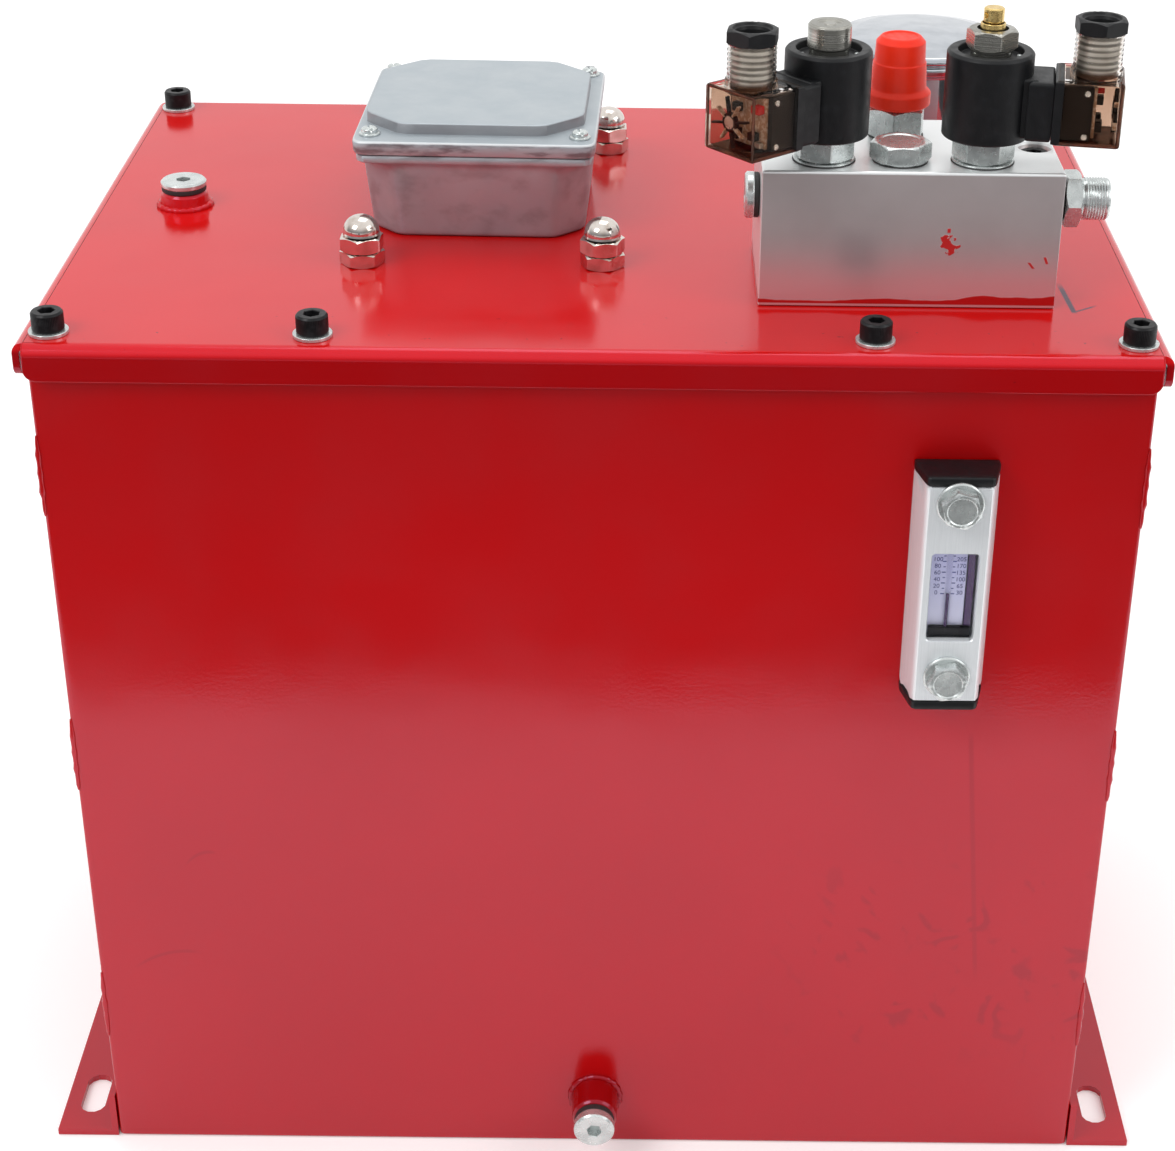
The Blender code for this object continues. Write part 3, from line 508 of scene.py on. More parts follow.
def folded_sheet(outline, half):
    """The sheet with the given (across, up) outline, laid from -half to half.  Its folded edge ends in a
    quarter round: near an end, no point is lower than the arc of the bend's radius."""
    ends = np.array([0, 0.25, 0.7, 1.4, 2.4, 3.6, 5.0])
    stations = np.concatenate([-half + ends, half - ends[::-1]])
    into = np.clip(BEND - (half - abs(stations)), 0, BEND)
    arc = lid_low[2] + BEND - np.sqrt(np.clip(BEND ** 2 - into ** 2, 0, None))
    sheet = np.empty((len(stations), len(outline), 3))
    sheet[..., 0] = stations[:, None]
    sheet[..., 1] = outline[:, 0]
    sheet[..., 2] = np.maximum(outline[:, 1], arc[:, None])
    return sheet


def soft_edge(piece):
    """Round a sheet's cut edges by half a millimetre."""
    rounding = piece.modifiers.new("edge", "BEVEL")
    rounding.width, rounding.segments, rounding.limit_method = 0.5 * MM, 2, "ANGLE"
    rounding.angle_limit = math.radians(50)


across = folded([(lid_low[1], lid_low[2]), (lid_low[1], LID_TOP), (lid_high[1], LID_TOP),
                 (lid_high[1], lid_low[2])],
                SHEET, BEND)
soft_edge(part(skin("lid_sheet", folded_sheet(across, FOLD_X), LID_PAINT), "unit", "red_paint", "lid"))

hook = folded([(0, LID_TOP - 0.02), (lid_high[0] - FOLD_X + LAP, LID_TOP - 0.02),
               (lid_high[0] - FOLD_X + LAP, lid_low[2])], SHEET, BEND)
for name, way in (("lid_fold_left", -1), ("lid_fold_right", 1)):
    fold = folded_sheet(hook, FOLD_Y)[..., [1, 0, 2]]
    fold[..., 0] = way * (FOLD_X - LAP + fold[..., 0])
    soft_edge(part(skin(name, fold[::-way], LID_PAINT), "unit", "red_paint"))


# ---------------------------------------------------------------- lid screws
# Eight M8 socket cap screws, black oxide with knurled heads, each on a bright zinc washer.

def oxide(ink):
    """Black oxide on steel, worn a little greyer in blotches."""
    wear = ink.noise(3, 4).ramp(0.45, 0.75)
    return {"Base Color": wear.mix(rgb(0.006, 0.006, 0.007), rgb(0.02, 0.02, 0.022)), "Metallic": 0.3,
            "Specular IOR Level": 0.35, "Roughness": ink.noise(2, 3).ramp(0.3, 0.7, 0.3, 0.45),
            "Normal": ink.noise(0.6, 2).bump(0.02)}


def zinc_plate(ink):
    """Bright zinc with a cool cast, faint turning marks and dull spots."""
    cloud = ink.noise(5, 4).ramp(0.35, 0.7)
    colour = cloud.mix(rgb(0.66, 0.70, 0.69), rgb(0.54, 0.575, 0.57))
    return {"Base Color": colour, "Metallic": 0.72, "Roughness": ink.noise(3, 3).ramp(0.3, 0.7, 0.2, 0.3),
            "Normal": ink.noise(1.2, 2, (2, 2, 0.5)).bump(0.008)}


OXIDE, ZINC = finish("black_oxide", oxide), finish("bright_zinc", zinc_plate)


def around(count):
    """Even angles once round."""
    return np.linspace(0, 2 * math.pi, count, endpoint=False)


def about(angle):
    """A turn about +Z by an angle."""
    return np.array([[math.cos(angle), -math.sin(angle), 0], [math.sin(angle), math.cos(angle), 0],
                     [0, 0, 1]])


def hexagon(half_flats, angles, spin=0.0, crisp=90):
    """The rim of a hexagon with the given half width across flats."""
    return polygon(angles, [(60 * i + spin, half_flats) for i in range(6)], 0.0, crisp)[0]


def turned(line, angles):
    """Rings of a turned shape from its (radius, height) line."""
    return rings(line[:, :1], line[:, 1], angles)


def washer_ring(inner, outer, low, high, angles, edge=0.3):
    """A flat ring's outside, from its bore at the bottom round to its bore at the top."""
    line = soften([(inner, low, 0), (outer, low, edge), (outer, high, edge), (inner, high, 0)])
    return turned(line, angles)


def sunk_hex(angles, rim, half_flats, top_height, floor_height, spin=0.0):
    """The rings that lead from a turned rim, over its face and down into a hexagon socket."""
    six = hexagon(half_flats, angles, spin)
    radii = np.stack([np.full(len(angles), rim), six * 1.09, six, six * 0.985, six * 0.97, six * 0.3])
    heights = [top_height, top_height, top_height - 0.25, top_height - 0.7, floor_height, floor_height]
    return rings(radii, heights, angles)


HEAD_RADIUS, HEAD_HEIGHT, WASHER_RADIUS, WASHER_THICK = 6.5, 8.0, 8.0, 1.6
screw_angles = around(180)
head_line = soften([(1, 0, 0), (HEAD_RADIUS - 0.3, 0, 0.3), (HEAD_RADIUS, 0.6, 0.2),
                    (HEAD_RADIUS, HEAD_HEIGHT - 0.9, 0.3),
                    (HEAD_RADIUS - 0.7, HEAD_HEIGHT, 0.4), (5.2, HEAD_HEIGHT, 0)])
head = turned(head_line, screw_angles)
knurl = 1 - 0.016 * (np.cos(60 * screw_angles) > 0.2) * ((head[...,
                                                               2] > 0.7) & (head[..., 2] < HEAD_HEIGHT - 1.0))
head[..., :2] *= knurl[..., None]
cap_head = np.concatenate([head, sunk_hex(screw_angles, 4.6, 3.0, HEAD_HEIGHT, HEAD_HEIGHT - 4.0)])
washer = washer_ring(4.3, WASHER_RADIUS, 0, WASHER_THICK, around(64))
for number in range(1, 9):
    low, high = box_of(f"lid_screw_{number}")
    x, y = (low + high)[:2] / 2
    part(skin(f"lid_washer_{number}", washer, ZINC, closed=True, at=(x, y, LID_TOP)), "unit", "zinc")
    screw = skin(f"cap_screw_{number}", cap_head, OXIDE, at=(x, y, LID_TOP + WASHER_THICK),
                 turn=about(number * 0.7))
    part(screw, "unit", "black_oxide", f"lid_screw_{number}")


# ---------------------------------------------------------------- fill and drain plugs
# Zinc collar plugs with a hexagon socket, on a black bonded seal, in bosses welded on and painted over.

def rubber_seal(ink):
    """Black nitrile, dull and a little uneven."""
    return {"Base Color": ink.noise(2, 3).mix(rgb(0.012, 0.012, 0.012), rgb(0.03, 0.03, 0.03)),
            "Roughness": ink.noise(1.5, 3).ramp(0.3, 0.7, 0.5, 0.7), "Normal": ink.noise(0.5, 2).bump(0.03)}


SEAL = finish("nitrile_seal", rubber_seal)
UP = np.eye(3)
FRONT = np.array([[1, 0, 0], [0, 0, -1], [0, 1, 0]], float)
RIGHT = np.array([[0, 0, 1], [0, 1, 0], [-1, 0, 0]], float)
LEFT = np.array([[0, 0, -1], [0, 1, 0], [1, 0, 0]], float)


def plug_set(name, node, at, turn, boss, seal, collar, radius, spin):
    """A boss, its seal and its plug, stacked from the point at along the turned +Z.  boss, seal and
    collar are where each ends; the weld runs round the boss's foot."""
    angles = around(96)
    plug_line = soften([(1, seal, 0), (radius - 0.2, seal, 0.3), (radius, seal + 0.5, 0.3),
                        (radius, collar - 0.9, 0.2),
                        (radius - 0.9, collar, 0.3), (5.8, collar, 0)])
    rim = turned(plug_line, angles)
    inside = sunk_hex(angles, 5.2, 3.0, collar, collar - 4.0, spin)
    part(skin(name, np.concatenate([rim, inside]), ZINC, at=at, turn=turn), "unit", "zinc", node)
    ring = turned(soften([(1, boss, 0), (radius - 0.2, boss, 0.5), (radius - 0.2, seal, 0.5), (1, seal, 0)]),
                  angles)
    part(skin(name + "_seal", ring, SEAL, at=at, turn=turn), "unit", "rubber")
    if boss > 3:
        post = soften([(8, -1, 0), (11, -1, 0), (11, 1.5, 0.8), (10.3, boss - 1.4, 1.2), (9.2, boss, 0.8),
                       (2, boss, 0)])
        part(skin(name + "_boss", turned(post, angles), LID_PAINT, at=at, turn=turn), "unit", "red_paint")
        loop = np.c_[11.3 * np.cos(around(60)), 11.3 * np.sin(around(60)), np.full(60, 0.5)]
        path = loop @ np.asarray(turn).T + at
        part(bead(name + "_weld", path, 1.5, LID_PAINT, 7, closed=True), "unit", "red_paint")


fill_low, fill_high = box_of("fill_plug")
fill_at = np.array([*(fill_low + fill_high)[:2] / 2, LID_TOP])
plug_set("filler_plug", "fill_plug", fill_at, UP, 7.0, 9.2, fill_high[2] - LID_TOP, 10.2, 12)
drain_low, drain_high = box_of("drain_plug")
drain_at = np.array([(drain_low + drain_high)[0] / 2, -TANK_HALF_Y, (drain_low + drain_high)[2] / 2])
plug_set("drain_screw", "drain_plug", drain_at, FRONT, 16.5, 20.0, -TANK_HALF_Y - drain_low[1], 9.35, 20)


# ---------------------------------------------------------------- breather
# The filler breather is a chromed steel cap with a rolled rim, on a flanged neck held by six screws.

def chrome_plate(ink):
    """Bright chrome with a breath of haze."""
    haze = ink.noise(14, 4).ramp(0.35, 0.75)
    return {"Base Color": haze.mix(rgb(0.60, 0.63, 0.67), rgb(0.48, 0.51, 0.55)), "Metallic": 1.0,
            "Roughness": haze * 0.06 + 0.05, "Normal": ink.noise(9, 2).bump(0.03)}


CHROME = finish("chrome_plate", chrome_plate)
cap_low, cap_high = box_of("breather_cap")
cap_x, cap_y = (cap_low + cap_high)[:2] / 2
crown = cap_high[2]
cap_line = soften([(31, cap_low[2], 0), (33, cap_low[2], 0.4), (33, crown - 15, 1), (36, crown - 13.5, 1),
                   (38.8, crown - 12.4, 1.3), (39.4, crown - 9.6, 1.4), (37.8, crown - 8.3, 0.4),
                   (39.3, crown - 6.8, 1.2),
                   (38.2, crown - 4.2, 1.5), (30, crown - 2.5, 6), (1, crown, 0)], 6)
cap_under = soften([(1, crown - 8, 0), (29, crown - 9, 2), (31, crown - 14, 2), (31, cap_low[2], 0)])
cap_rings = np.concatenate([turned(cap_under, around(128)), turned(cap_line, around(128))])
part(skin("breather_dome", cap_rings, CHROME, at=(cap_x, cap_y, 0), sharp=30), "breather_cap", "chrome",
     "breather_cap")
neck_low, neck_high = box_of("breather_neck")
neck_top, FLANGE_TOP = neck_high[2], LID_TOP + 2.6
neck_line = soften([(23.5, neck_low[2], 0.5), (23.5, LID_TOP + 0.1, 0.3), (41, LID_TOP + 0.1, 0.4),
                    (41, FLANGE_TOP, 1), (26, FLANGE_TOP + 1, 1), (23.8, 412.5, 1), (23.5, neck_top, 0.8),
                    (21, neck_top, 0.8), (21, neck_low[2] + 3, 1), (1, neck_low[2] + 3, 0)])
neck_foot = np.array([[1, neck_low[2]]])
part(skin("breather_collar", turned(np.concatenate([neck_foot, neck_line]), around(96)), CHROME,
          at=(cap_x, cap_y, 0)),
     "unit", "chrome", "breather_neck")
small_head = soften([(0.3, 0, 0), (3.4, 0, 0.2), (3.4, 1.1, 0.9), (2.0, 2.2, 0.6), (0.3, 2.3, 0)])
for number in range(6):
    swing = math.radians(60 * number + 30)
    spot = (cap_x + 37.2 * math.cos(swing), cap_y + 37.2 * math.sin(swing), FLANGE_TOP)
    part(skin(f"breather_screw_{number + 1}", turned(small_head, around(32)), ZINC, at=spot), "unit", "zinc")


# ---------------------------------------------------------------- terminal box
# The motor's terminal box is die-cast aluminium: an eight-sided body with a flange, and a lid with a
# raised field.  Four zinc screws hold the lid.

def cast_skin(ink):
    """Cast aluminium: grey with cool clouds and a fine grain.  The lid's band is rubbed in patches, its top
    edge carries a painted highlight, the step round its field is dark, and the body is blotched."""
    _, _, z = ink.place()
    cloud = ink.noise(22, 4).ramp(0.3, 0.7)
    band = ink.noise(5, 4, (3, 1, 0.8)).ramp(0.46, 0.66) * z.ramp(453.0, 452.4) * z.ramp(444, 447)
    step = z.ramp(453.1, 453.4) * z.ramp(457.9, 457.4) * (ink.noise(6, 3, (3, 1, 1)) * 0.5 + 0.4)
    blot = ink.noise(9, 4, (1.5, 1, 1)).ramp(0.45, 0.7) * z.ramp(446, 444) * 0.3
    # Painted highlight: a pale grey line along the lid's top edge, between z 452 and 453.
    edge = z.ramp(452.0, 452.5) * z.ramp(452.98, 452.85) * 0.7
    plain = cloud.mix(rgb(0.40, 0.445, 0.475), rgb(0.44, 0.48, 0.505))
    worn = ((band + step) * 0.8 + blot).mix(plain, rgb(0.15, 0.125, 0.135))
    colour = edge.mix(worn, rgb(0.70, 0.72, 0.73))
    grain = ink.noise(0.8, 3) * 0.6 + ink.noise(6, 3) * 0.5
    return {"Base Color": colour, "Metallic": 0.5, "Roughness": ink.noise(7, 3).ramp(0.3, 0.7, 0.4, 0.5),
            "Normal": grain.bump(0.05)}


CAST = finish("cast_aluminium", cast_skin)
box_low, box_high = box_of("terminal_box")
hat_low, hat_high = box_of("terminal_box_lid")
box_at = np.array([*(hat_low + hat_high)[:2] / 2, 0])
half_x, half_y = (hat_high - hat_low)[:2] / 2
box_angles = corner_angles(half_x, half_y, 96, 8)
FIELD_SHIFT = np.array([-1.2, 3.6, 0])
BOX_TURN = about(math.radians(-1.2))


def eight(inset_x, inset_y, cut):
    """The rim of the box with its corners cut off, drawn in by an inset along x and one along y."""
    return polygon(box_angles, box_sides(half_x - inset_x, half_y - inset_y, cut), 0.0, 70)[0]


def box_rings(levels):
    """Rings from (inset along x, inset along y, corner cut, height) levels."""
    return rings(np.stack([eight(*level[:3]) for level in levels]), [level[3] for level in levels],
                 box_angles)


foot_height, flange_height = LID_TOP + 0.1, box_high[2]
body = box_rings([(16, 20, 14, foot_height), (7.0, 12, 12, foot_height), (5.9, 10.9, 12, foot_height + 0.6),
          (5.4, 10.4, 12.2, foot_height + 1.6), (5.2, 10.0, 12.3, foot_height + 3.4), (2.4, 3.9, 15.6, 437.2),
          (2.2, 3.4, 15.8, 439.2), (2.1, 3.1, 15, 440.8), (1.9, 2.6, 11, 441.9),
          (1.6, 1.6, 3.6, 443.0), (1.2, 1.2, 3.2, 443.5), (1.2, 1.2, 3.2, flange_height - 0.5),
          (1.6, 1.6, 3.4, flange_height), (7, 7, 12, flange_height), (7.2, 7.2, 12, flange_height - 2),
          (9, 13.5, 14, foot_height + 6), (30, 30, 22, foot_height + 6)])
part(skin("terminal_case", body, CAST, at=box_at, turn=BOX_TURN, sharp=50), "unit", "cast_aluminium",
     "terminal_box")

rim_top = hat_low[2] + 6.3
rim = box_rings([(20, 20, 14, hat_low[2] + 3), (8, 8, 13, hat_low[2] + 3), (7, 7, 12, hat_low[2]),
                 (1.5, 1.5, 3.2, hat_low[2]),
          (0.5, 0.5, 2.9, hat_low[2] + 0.4), (0.2, 0.2, 2.8, hat_low[2] + 1.3), (0, 0, 2.8, rim_top - 1.1),
          (0.2, 0.2, 2.9, rim_top - 0.5), (0.7, 0.7, 3.1, rim_top - 0.1), (1.2, 1.2, 3.4, rim_top),
                 (1.5, 1.5, 3.5, rim_top)])
field = box_rings([(4.2, 6.9, 16.5, rim_top), (4.5, 7.2, 16.8, rim_top + 0.15),
                   (4.6, 7.3, 16.8, rim_top + 0.6),
          (4.7, 7.4, 16.8, hat_high[2] - 0.5), (4.9, 7.6, 16.9, hat_high[2] - 0.15),
                   (5.3, 8.0, 17, hat_high[2]),
          (5.6, 8.3, 17.1, hat_high[2]), (25, 28, 22, hat_high[2])]) + FIELD_SHIFT
part(skin("terminal_hat", np.concatenate([rim, field]), CAST, at=box_at, turn=BOX_TURN, sharp=40), "unit",
     "cast_aluminium",
     "terminal_box_lid")
boss = turned(soften([(0.5, 0, 0), (2.6, 0, 0), (2.6, 2.2, 0.5), (1.0, 2.2, 0.2), (0.8, 1.2, 0)]), around(32))
part(skin("terminal_hat_boss", boss, CAST, at=(hat_high[0] - 6.0, hat_high[1] - 3.6, rim_top - 0.1)), "unit",
     "cast_aluminium")

pan = soften([(0.4, 0, 0), (4.6, 0, 0.2), (4.6, 0.9, 0.3), (3.5, 1.0, 0.1), (3.5, 2.6, 0.7), (2.6, 3.2, 0.5),
              (0.4, 3.2, 0)])
for number in range(1, 5):
    low, high = box_of(f"terminal_screw_{number}")
    rows = turned(pan, around(72))
    slit = (abs(rows[..., 0] * 0.94 + rows[..., 1] * 0.34) < 0.55) & (rows[..., 2] > 2.0)
    rows[..., 2] -= 1.1 * slit
    spot = BOX_TURN @ np.array([*((low + high)[:2] / 2 - box_at[:2]), rim_top]) + box_at
    part(skin(f"box_screw_{number}", rows, ZINC, at=spot, sharp=30), "unit", "zinc",
         f"terminal_screw_{number}")


# ---------------------------------------------------------------- motor studs
# The motor hangs on four studs.  Each is closed by a flat lock nut and a polished acorn nut.

def nickel_plate(ink):
    """Nickel over zinc: bright and slightly warm, with finger marks in its gloss."""
    cloud = ink.noise(6, 4).ramp(0.4, 0.7)
    return {"Base Color": cloud.mix(rgb(0.76, 0.70, 0.65), rgb(0.58, 0.50, 0.44)), "Metallic": 1.0,
            "Roughness": ink.noise(4, 3).ramp(0.3, 0.75, 0.07, 0.2), "Normal": ink.noise(2.5, 2).bump(0.02)}


NICKEL = finish("nickel_plate", nickel_plate)


def nut_rings(half_flats, low, high, angles, spin=0.0, chamfer=0.55):
    """A hexagon nut's side: flats cut by a shallow cone above and below, as a turned chamfer leaves
    them, so that each corner falls away by chamfer times how far it stands past the flats."""
    six = hexagon(half_flats, angles, spin, 160)
    shares = np.array([0.55, 0.9, 0.965, 1.0])
    radii = np.concatenate([shares, shares[::-1]])[:, None] * six
    drop = np.clip(radii - half_flats * 0.97, 0, None) * chamfer
    heights = np.where(np.arange(8)[:, None] < 4, low + drop, high - drop)
    return rings(radii, heights, angles)


nut_angles = around(96)
DOME_RADIUS = 7.7
dome_share = np.linspace(0, 1, 16)[:, None]
for number in range(1, 5):
    low, high = box_of(f"motor_stud_{number}")
    x, y = (low + high)[:2] / 2
    seat = LID_TOP
    spin = 14 + 22 * number
    lock = nut_rings(8.5, seat, seat + 6.0, nut_angles, spin)
    part(skin(f"lock_nut_{number}", lock, NICKEL, at=(x, y, 0), sharp=24), "unit", "nickel")
    hex_part = nut_rings(8.5, seat + 6.1, seat + 12.6, nut_angles, spin + 20)
    brow = seat + 14.8
    bowl = soften([(8.1, seat + 12.7, 0.2), (7.9, seat + 13.4, 0.5), (DOME_RADIUS, seat + 14.2, 0.5),
                   (DOME_RADIUS, brow, 0)])[1:]
    height = high[2] - brow
    dome = np.c_[DOME_RADIUS * np.cos(dome_share * 1.52), brow + height * np.sin(dome_share * math.pi / 2)]
    shell = np.concatenate([hex_part, turned(bowl, nut_angles), turned(dome, nut_angles)])
    part(skin(f"acorn_nut_{number}", shell, NICKEL, at=(x, y, 0), sharp=24), "unit", "nickel",
         f"motor_stud_{number}")


# ---------------------------------------------------------------- manifold block
# A ground steel block with all the valve bores, bolted to the lid.  Paint has run along its foot and
# left a few drops on its face.

def ground_steel(ink):
    """Ground and plated steel: soft level grain and slow clouds, with painted highlights on its top and left
    edges, a painted reflection of the red lid low on its face and a dark grey patch of painted shade.  Paint
    has run along the foot, and splashed on the face as one ragged drop, its tip and two flecks."""
    x, y, z = ink.place()
    drop_x, drop_z = 143.6, 434.5
    cloud = ink.noise(34, 3).ramp(0.3, 0.75)
    line = ink.noise(1.6, 3, (18, 18, 0.6)).ramp(0.3, 0.75)
    # Painted shade: a dark grey patch round x 106, z 431 on the block's face.
    shade = abs(x - 106.0).ramp(14, 2) * abs(z - 431.0).ramp(14, 2) * 0.2
    # Painted reflection: the face turns pink toward its foot, below z 441, as the red lid is mirrored in it.
    steel = z.ramp(441, 409).mix(cloud.mix(rgb(0.56, 0.52, 0.52), rgb(0.49, 0.455, 0.455)),
                                 rgb(0.66, 0.42, 0.44))
    # Painted highlight: near-white along the top edge above z 463.7 and the left edge below x 67.
    bright = z.ramp(463.7, 464.0).most(x.ramp(67.1, 66.8))
    steel = bright.mix(shade.mix(steel, rgb(0.14, 0.12, 0.15)), rgb(0.86, 0.88, 0.88))
    edge = ink.noise(26, 3).ramp(0.3, 0.7, -0.7, 0.7) + x.ramp(145, 160, 410.4, 412.4)
    foot = (edge - z).ramp(-0.4, 0.4) * (z - 408.4).ramp(0.0, 0.3)
    front = y.ramp(-107, -109)
    ragged = ink.noise(2.4, 3).ramp(0.2, 0.8, 0.0, 5.0)
    aside, above = x - drop_x - (drop_z - z) * 0.35, (z - drop_z) * 0.8
    far = ink.math("SQRT", aside * aside + above * above)
    drop = (ragged - far + 0.7).ramp(0.0, 0.5)
    tip = abs(x - 143.0).ramp(0.9, 0.5) * abs(z - 440.6).ramp(1.2, 0.7)
    nick = abs(x - 177.5 + (z - 426.0) * 0.8).ramp(0.8, 0.4) * abs(z - 426.0).ramp(1.6, 1.1)
    fleck = abs(x - 183.4 + (z - 428.2) * 0.4).ramp(0.7, 0.4) * abs(z - 428.2).ramp(1.8, 1.2)
    spots = (drop.most(tip) + nick + fleck) * front
    paint = ink.math("MINIMUM", foot.most(spots), 1.0)
    colour = paint.mix(steel, rgb(0.42, 0.002, 0.002))
    return {"Base Color": colour, "Metallic": 0.62 - paint * 0.62,
            "Roughness": line * 0.05 + cloud * 0.04 + 0.3,
            "Normal": (line * 0.2 + paint * 4.0).bump(0.02)}


STEEL = finish("ground_steel", ground_steel)
block_low, block_high = box_of("manifold_block")
block_mid = (block_low + block_high) / 2
block_half = (block_high - block_low) / 2
block_angles = corner_angles(block_half[0], block_half[1], 40, 8)
block_line = soften([(30, block_low[2], 0), (0, block_low[2], 0.4), (0, block_high[2], 1.1),
                     (30, block_high[2], 0)])
block_points = slab(box_sides(block_half[0], block_half[1]), block_line, block_angles, 180)
block = skin("valve_block", block_points, STEEL, at=(block_mid[0], block_mid[1], 0), sharp=50)
part(block, "unit", "bright_steel", "manifold_block")
bolt_low, bolt_high = box_of("manifold_bolt")
bolt_x, bolt_y = (bolt_low + bolt_high)[:2] / 2
sink_low, sink_high = block_high[2] - 11, block_high[2] + 2
sink_line = np.array([(1, sink_low), (7.25, sink_low), (7.25, sink_high), (1, sink_high)])
sink = skin("counterbore_tool", turned(sink_line, around(64)), STEEL, at=(bolt_x, bolt_y, 0))
drill = block.modifiers.new("counterbore", "BOOLEAN")
drill.object = sink
bpy.context.view_layer.update()
bored = bpy.data.meshes.new_from_object(block.evaluated_get(bpy.context.evaluated_depsgraph_get()))
block.modifiers.clear()
block.data = bored
bpy.data.objects.remove(sink)
block_bolt = skin("block_bolt", cap_head, OXIDE, at=(bolt_x, bolt_y, bolt_high[2] - HEAD_HEIGHT))
part(block_bolt, "unit", "black_oxide", "manifold_bolt")


# ---------------------------------------------------------------- plugs and fittings on the block
# Zinc plated: a hexagon plug and an adapter on top, a socket plug in the left end, and the outlet
# fitting for the hose in the right end.  The adapter has its red plastic shipping cap on.

def red_cap_plastic(ink):
    """Soft red polythene, slightly clouded."""
    cloud = ink.noise(5, 3)
    return {"Base Color": cloud.mix(rgb(0.93, 0.032, 0.007), rgb(0.85, 0.022, 0.005)),
            "Roughness": ink.noise(3, 3).ramp(0.3, 0.7, 0.38, 0.5),
            "Specular IOR Level": 0.3, "Normal": ink.noise(0.8, 2).bump(0.02)}


RED_PLASTIC = finish("red_cap_plastic", red_cap_plastic)


def dark_gasket(name, x, y, radius, low):
    """A thin black sealing ring on the block's top."""
    ring = turned(soften([(1, low, 0), (radius, low, 0.2), (radius, low + 0.7, 0.3), (1, low + 0.7, 0)]),
                  around(64))
    part(skin(name, ring, SEAL, at=(x, y, 0)), "unit", "rubber")


deck = block_high[2]
plug_low, plug_high = box_of("hex_plug")
plug_x, plug_y = (plug_low + plug_high)[:2] / 2
hex_side = nut_rings(11, deck + 0.4, plug_high[2], nut_angles, 30)
face = plug_high[2]
hex_top = turned(np.array([(9.4, face), (8.9, face - 0.05), (8.2, face - 0.45), (1, face - 0.5)]), nut_angles)
part(skin("blank_plug", np.concatenate([hex_side[:-1], hex_top]), ZINC, at=(plug_x, plug_y, 0), sharp=24),
     "unit", "zinc", "hex_plug")
dark_gasket("blank_plug_seal", plug_x, plug_y, 11.4, deck - 0.1)

port_low, port_high = box_of("port_adapter")
red_low, red_high = box_of("red_cap")
port_x, port_y = (red_low + red_high)[:2] / 2
port_hex = nut_rings(11, deck + 0.4, deck + 12.6, nut_angles, 50)
stem_top = port_high[2] - 0.3
stem = turned(soften([(7.6, deck + 12.6, 0), (6.5, deck + 13.2, 0.3), (6.5, stem_top, 0.5),
                      (3.6, stem_top, 0.3),
                      (3.4, deck + 10, 0)]), nut_angles)
part(skin("port_union", np.concatenate([port_hex, stem]), ZINC, at=(port_x, port_y, 0), sharp=24), "unit",
     "zinc", "port_adapter")
dark_gasket("port_union_seal", port_x, port_y, 11.6, deck - 0.1)

base, peak = red_low[2], red_high[2]
cap_out = soften([(7.2, base, 0), (12.6, base, 0.5), (13.6, base + 0.9, 0.5), (13.6, base + 5.6, 1.0),
                  (11.6, base + 7.6, 1.4), (11.0, peak - 11, 0.5),
                  (10.6, peak - 10.4, 0.3), (10.5, peak - 9.6, 0.3), (10.2, peak - 2.4, 0.5),
                  (8.2, peak - 0.2, 0.8), (7.2, peak, 0.4), (6.6, peak - 0.6, 0.3), (0.6, peak - 0.7, 0)], 5)
cap_in = soften([(0.6, peak - 3.2, 0), (7.0, peak - 3.2, 0.5), (7.2, base, 0)])
red_rings = np.concatenate([turned(cap_in, around(96)), turned(cap_out, around(96))])
crimp = 1 - 0.012 * (np.cos(12 * around(96)) > 0.7) * ((red_rings[..., 2] > base
                                                        + 9) & (red_rings[..., 2] < peak - 11.5))
red_rings[..., :2] *= crimp[..., None]
part(skin("shipping_cap", red_rings, RED_PLASTIC, at=(port_x, port_y, 0), sharp=45), "red_cap", "red_plastic",
     "red_cap")

side_low, side_high = box_of("side_plug")
side_y, side_z = (side_low + side_high)[1:] / 2
side_at = np.array([block_low[0], side_y, side_z])
plug_set("end_plug", "side_plug", side_at, LEFT, 0.2, 2.2, block_low[0] - side_low[0], 9.5, 25)


def thread_rings(radius, low, high, pitch, angles, depth=0.55):
    """A cut thread: the radius falls and rises by depth as the height climbs one pitch each turn."""
    levels = np.linspace(low, high, int((high - low) / pitch * 8))
    phase = 2 * math.pi * levels[:, None] / pitch - angles
    fade = np.clip(np.minimum(levels - low, high - levels) / pitch, 0, 1)[:, None]
    radii = radius - depth * (0.5 + 0.5 * np.cos(phase)) * fade - 0.1 * (1 - fade)
    return rings(radii, levels, angles)


out_low, out_high = box_of("outlet_fitting")
out_y, out_z = (out_low + out_high)[1:] / 2
reach = out_high[0] - block_high[0] - 1.6
collar = nut_rings(10.4, 2.6, 9.6, nut_angles, 0)
neck = turned(soften([(8.4, 9.8, 0.3), (8.1, 10.4, 0.3), (8.3, 11.2, 0)]), nut_angles)
screwed = thread_rings(8.75, 11.2, reach - 1.0, 1.15, nut_angles, 0.35)
mouth = turned(soften([(8.5, reach - 1.0, 0), (8.0, reach, 0.4), (6.6, reach, 0.2), (5.2, reach - 3.2, 0.3),
                       (5.0, 2, 0), (1, 2, 0)]), nut_angles)
fitting = np.concatenate([collar, neck, screwed, mouth])
part(skin("hose_fitting", fitting, ZINC, at=(block_high[0], out_y, out_z), turn=RIGHT, sharp=24), "unit",
     "zinc", "outlet_fitting")
washer_line = turned(soften([(1, 0.1, 0), (9.6, 0.1, 0.4), (9.6, 2.4, 0.5), (1, 2.4, 0)]), around(64))
part(skin("hose_fitting_seal", washer_line, SEAL, at=(block_high[0], out_y, out_z), turn=RIGHT), "unit",
     "rubber")


# ---------------------------------------------------------------- solenoid valves
# Each cartridge valve has a plated hexagon body in the block.  A black moulded coil slips over its tube
# and is held by a knurled nut; the right one has a brass knob for lowering by hand.

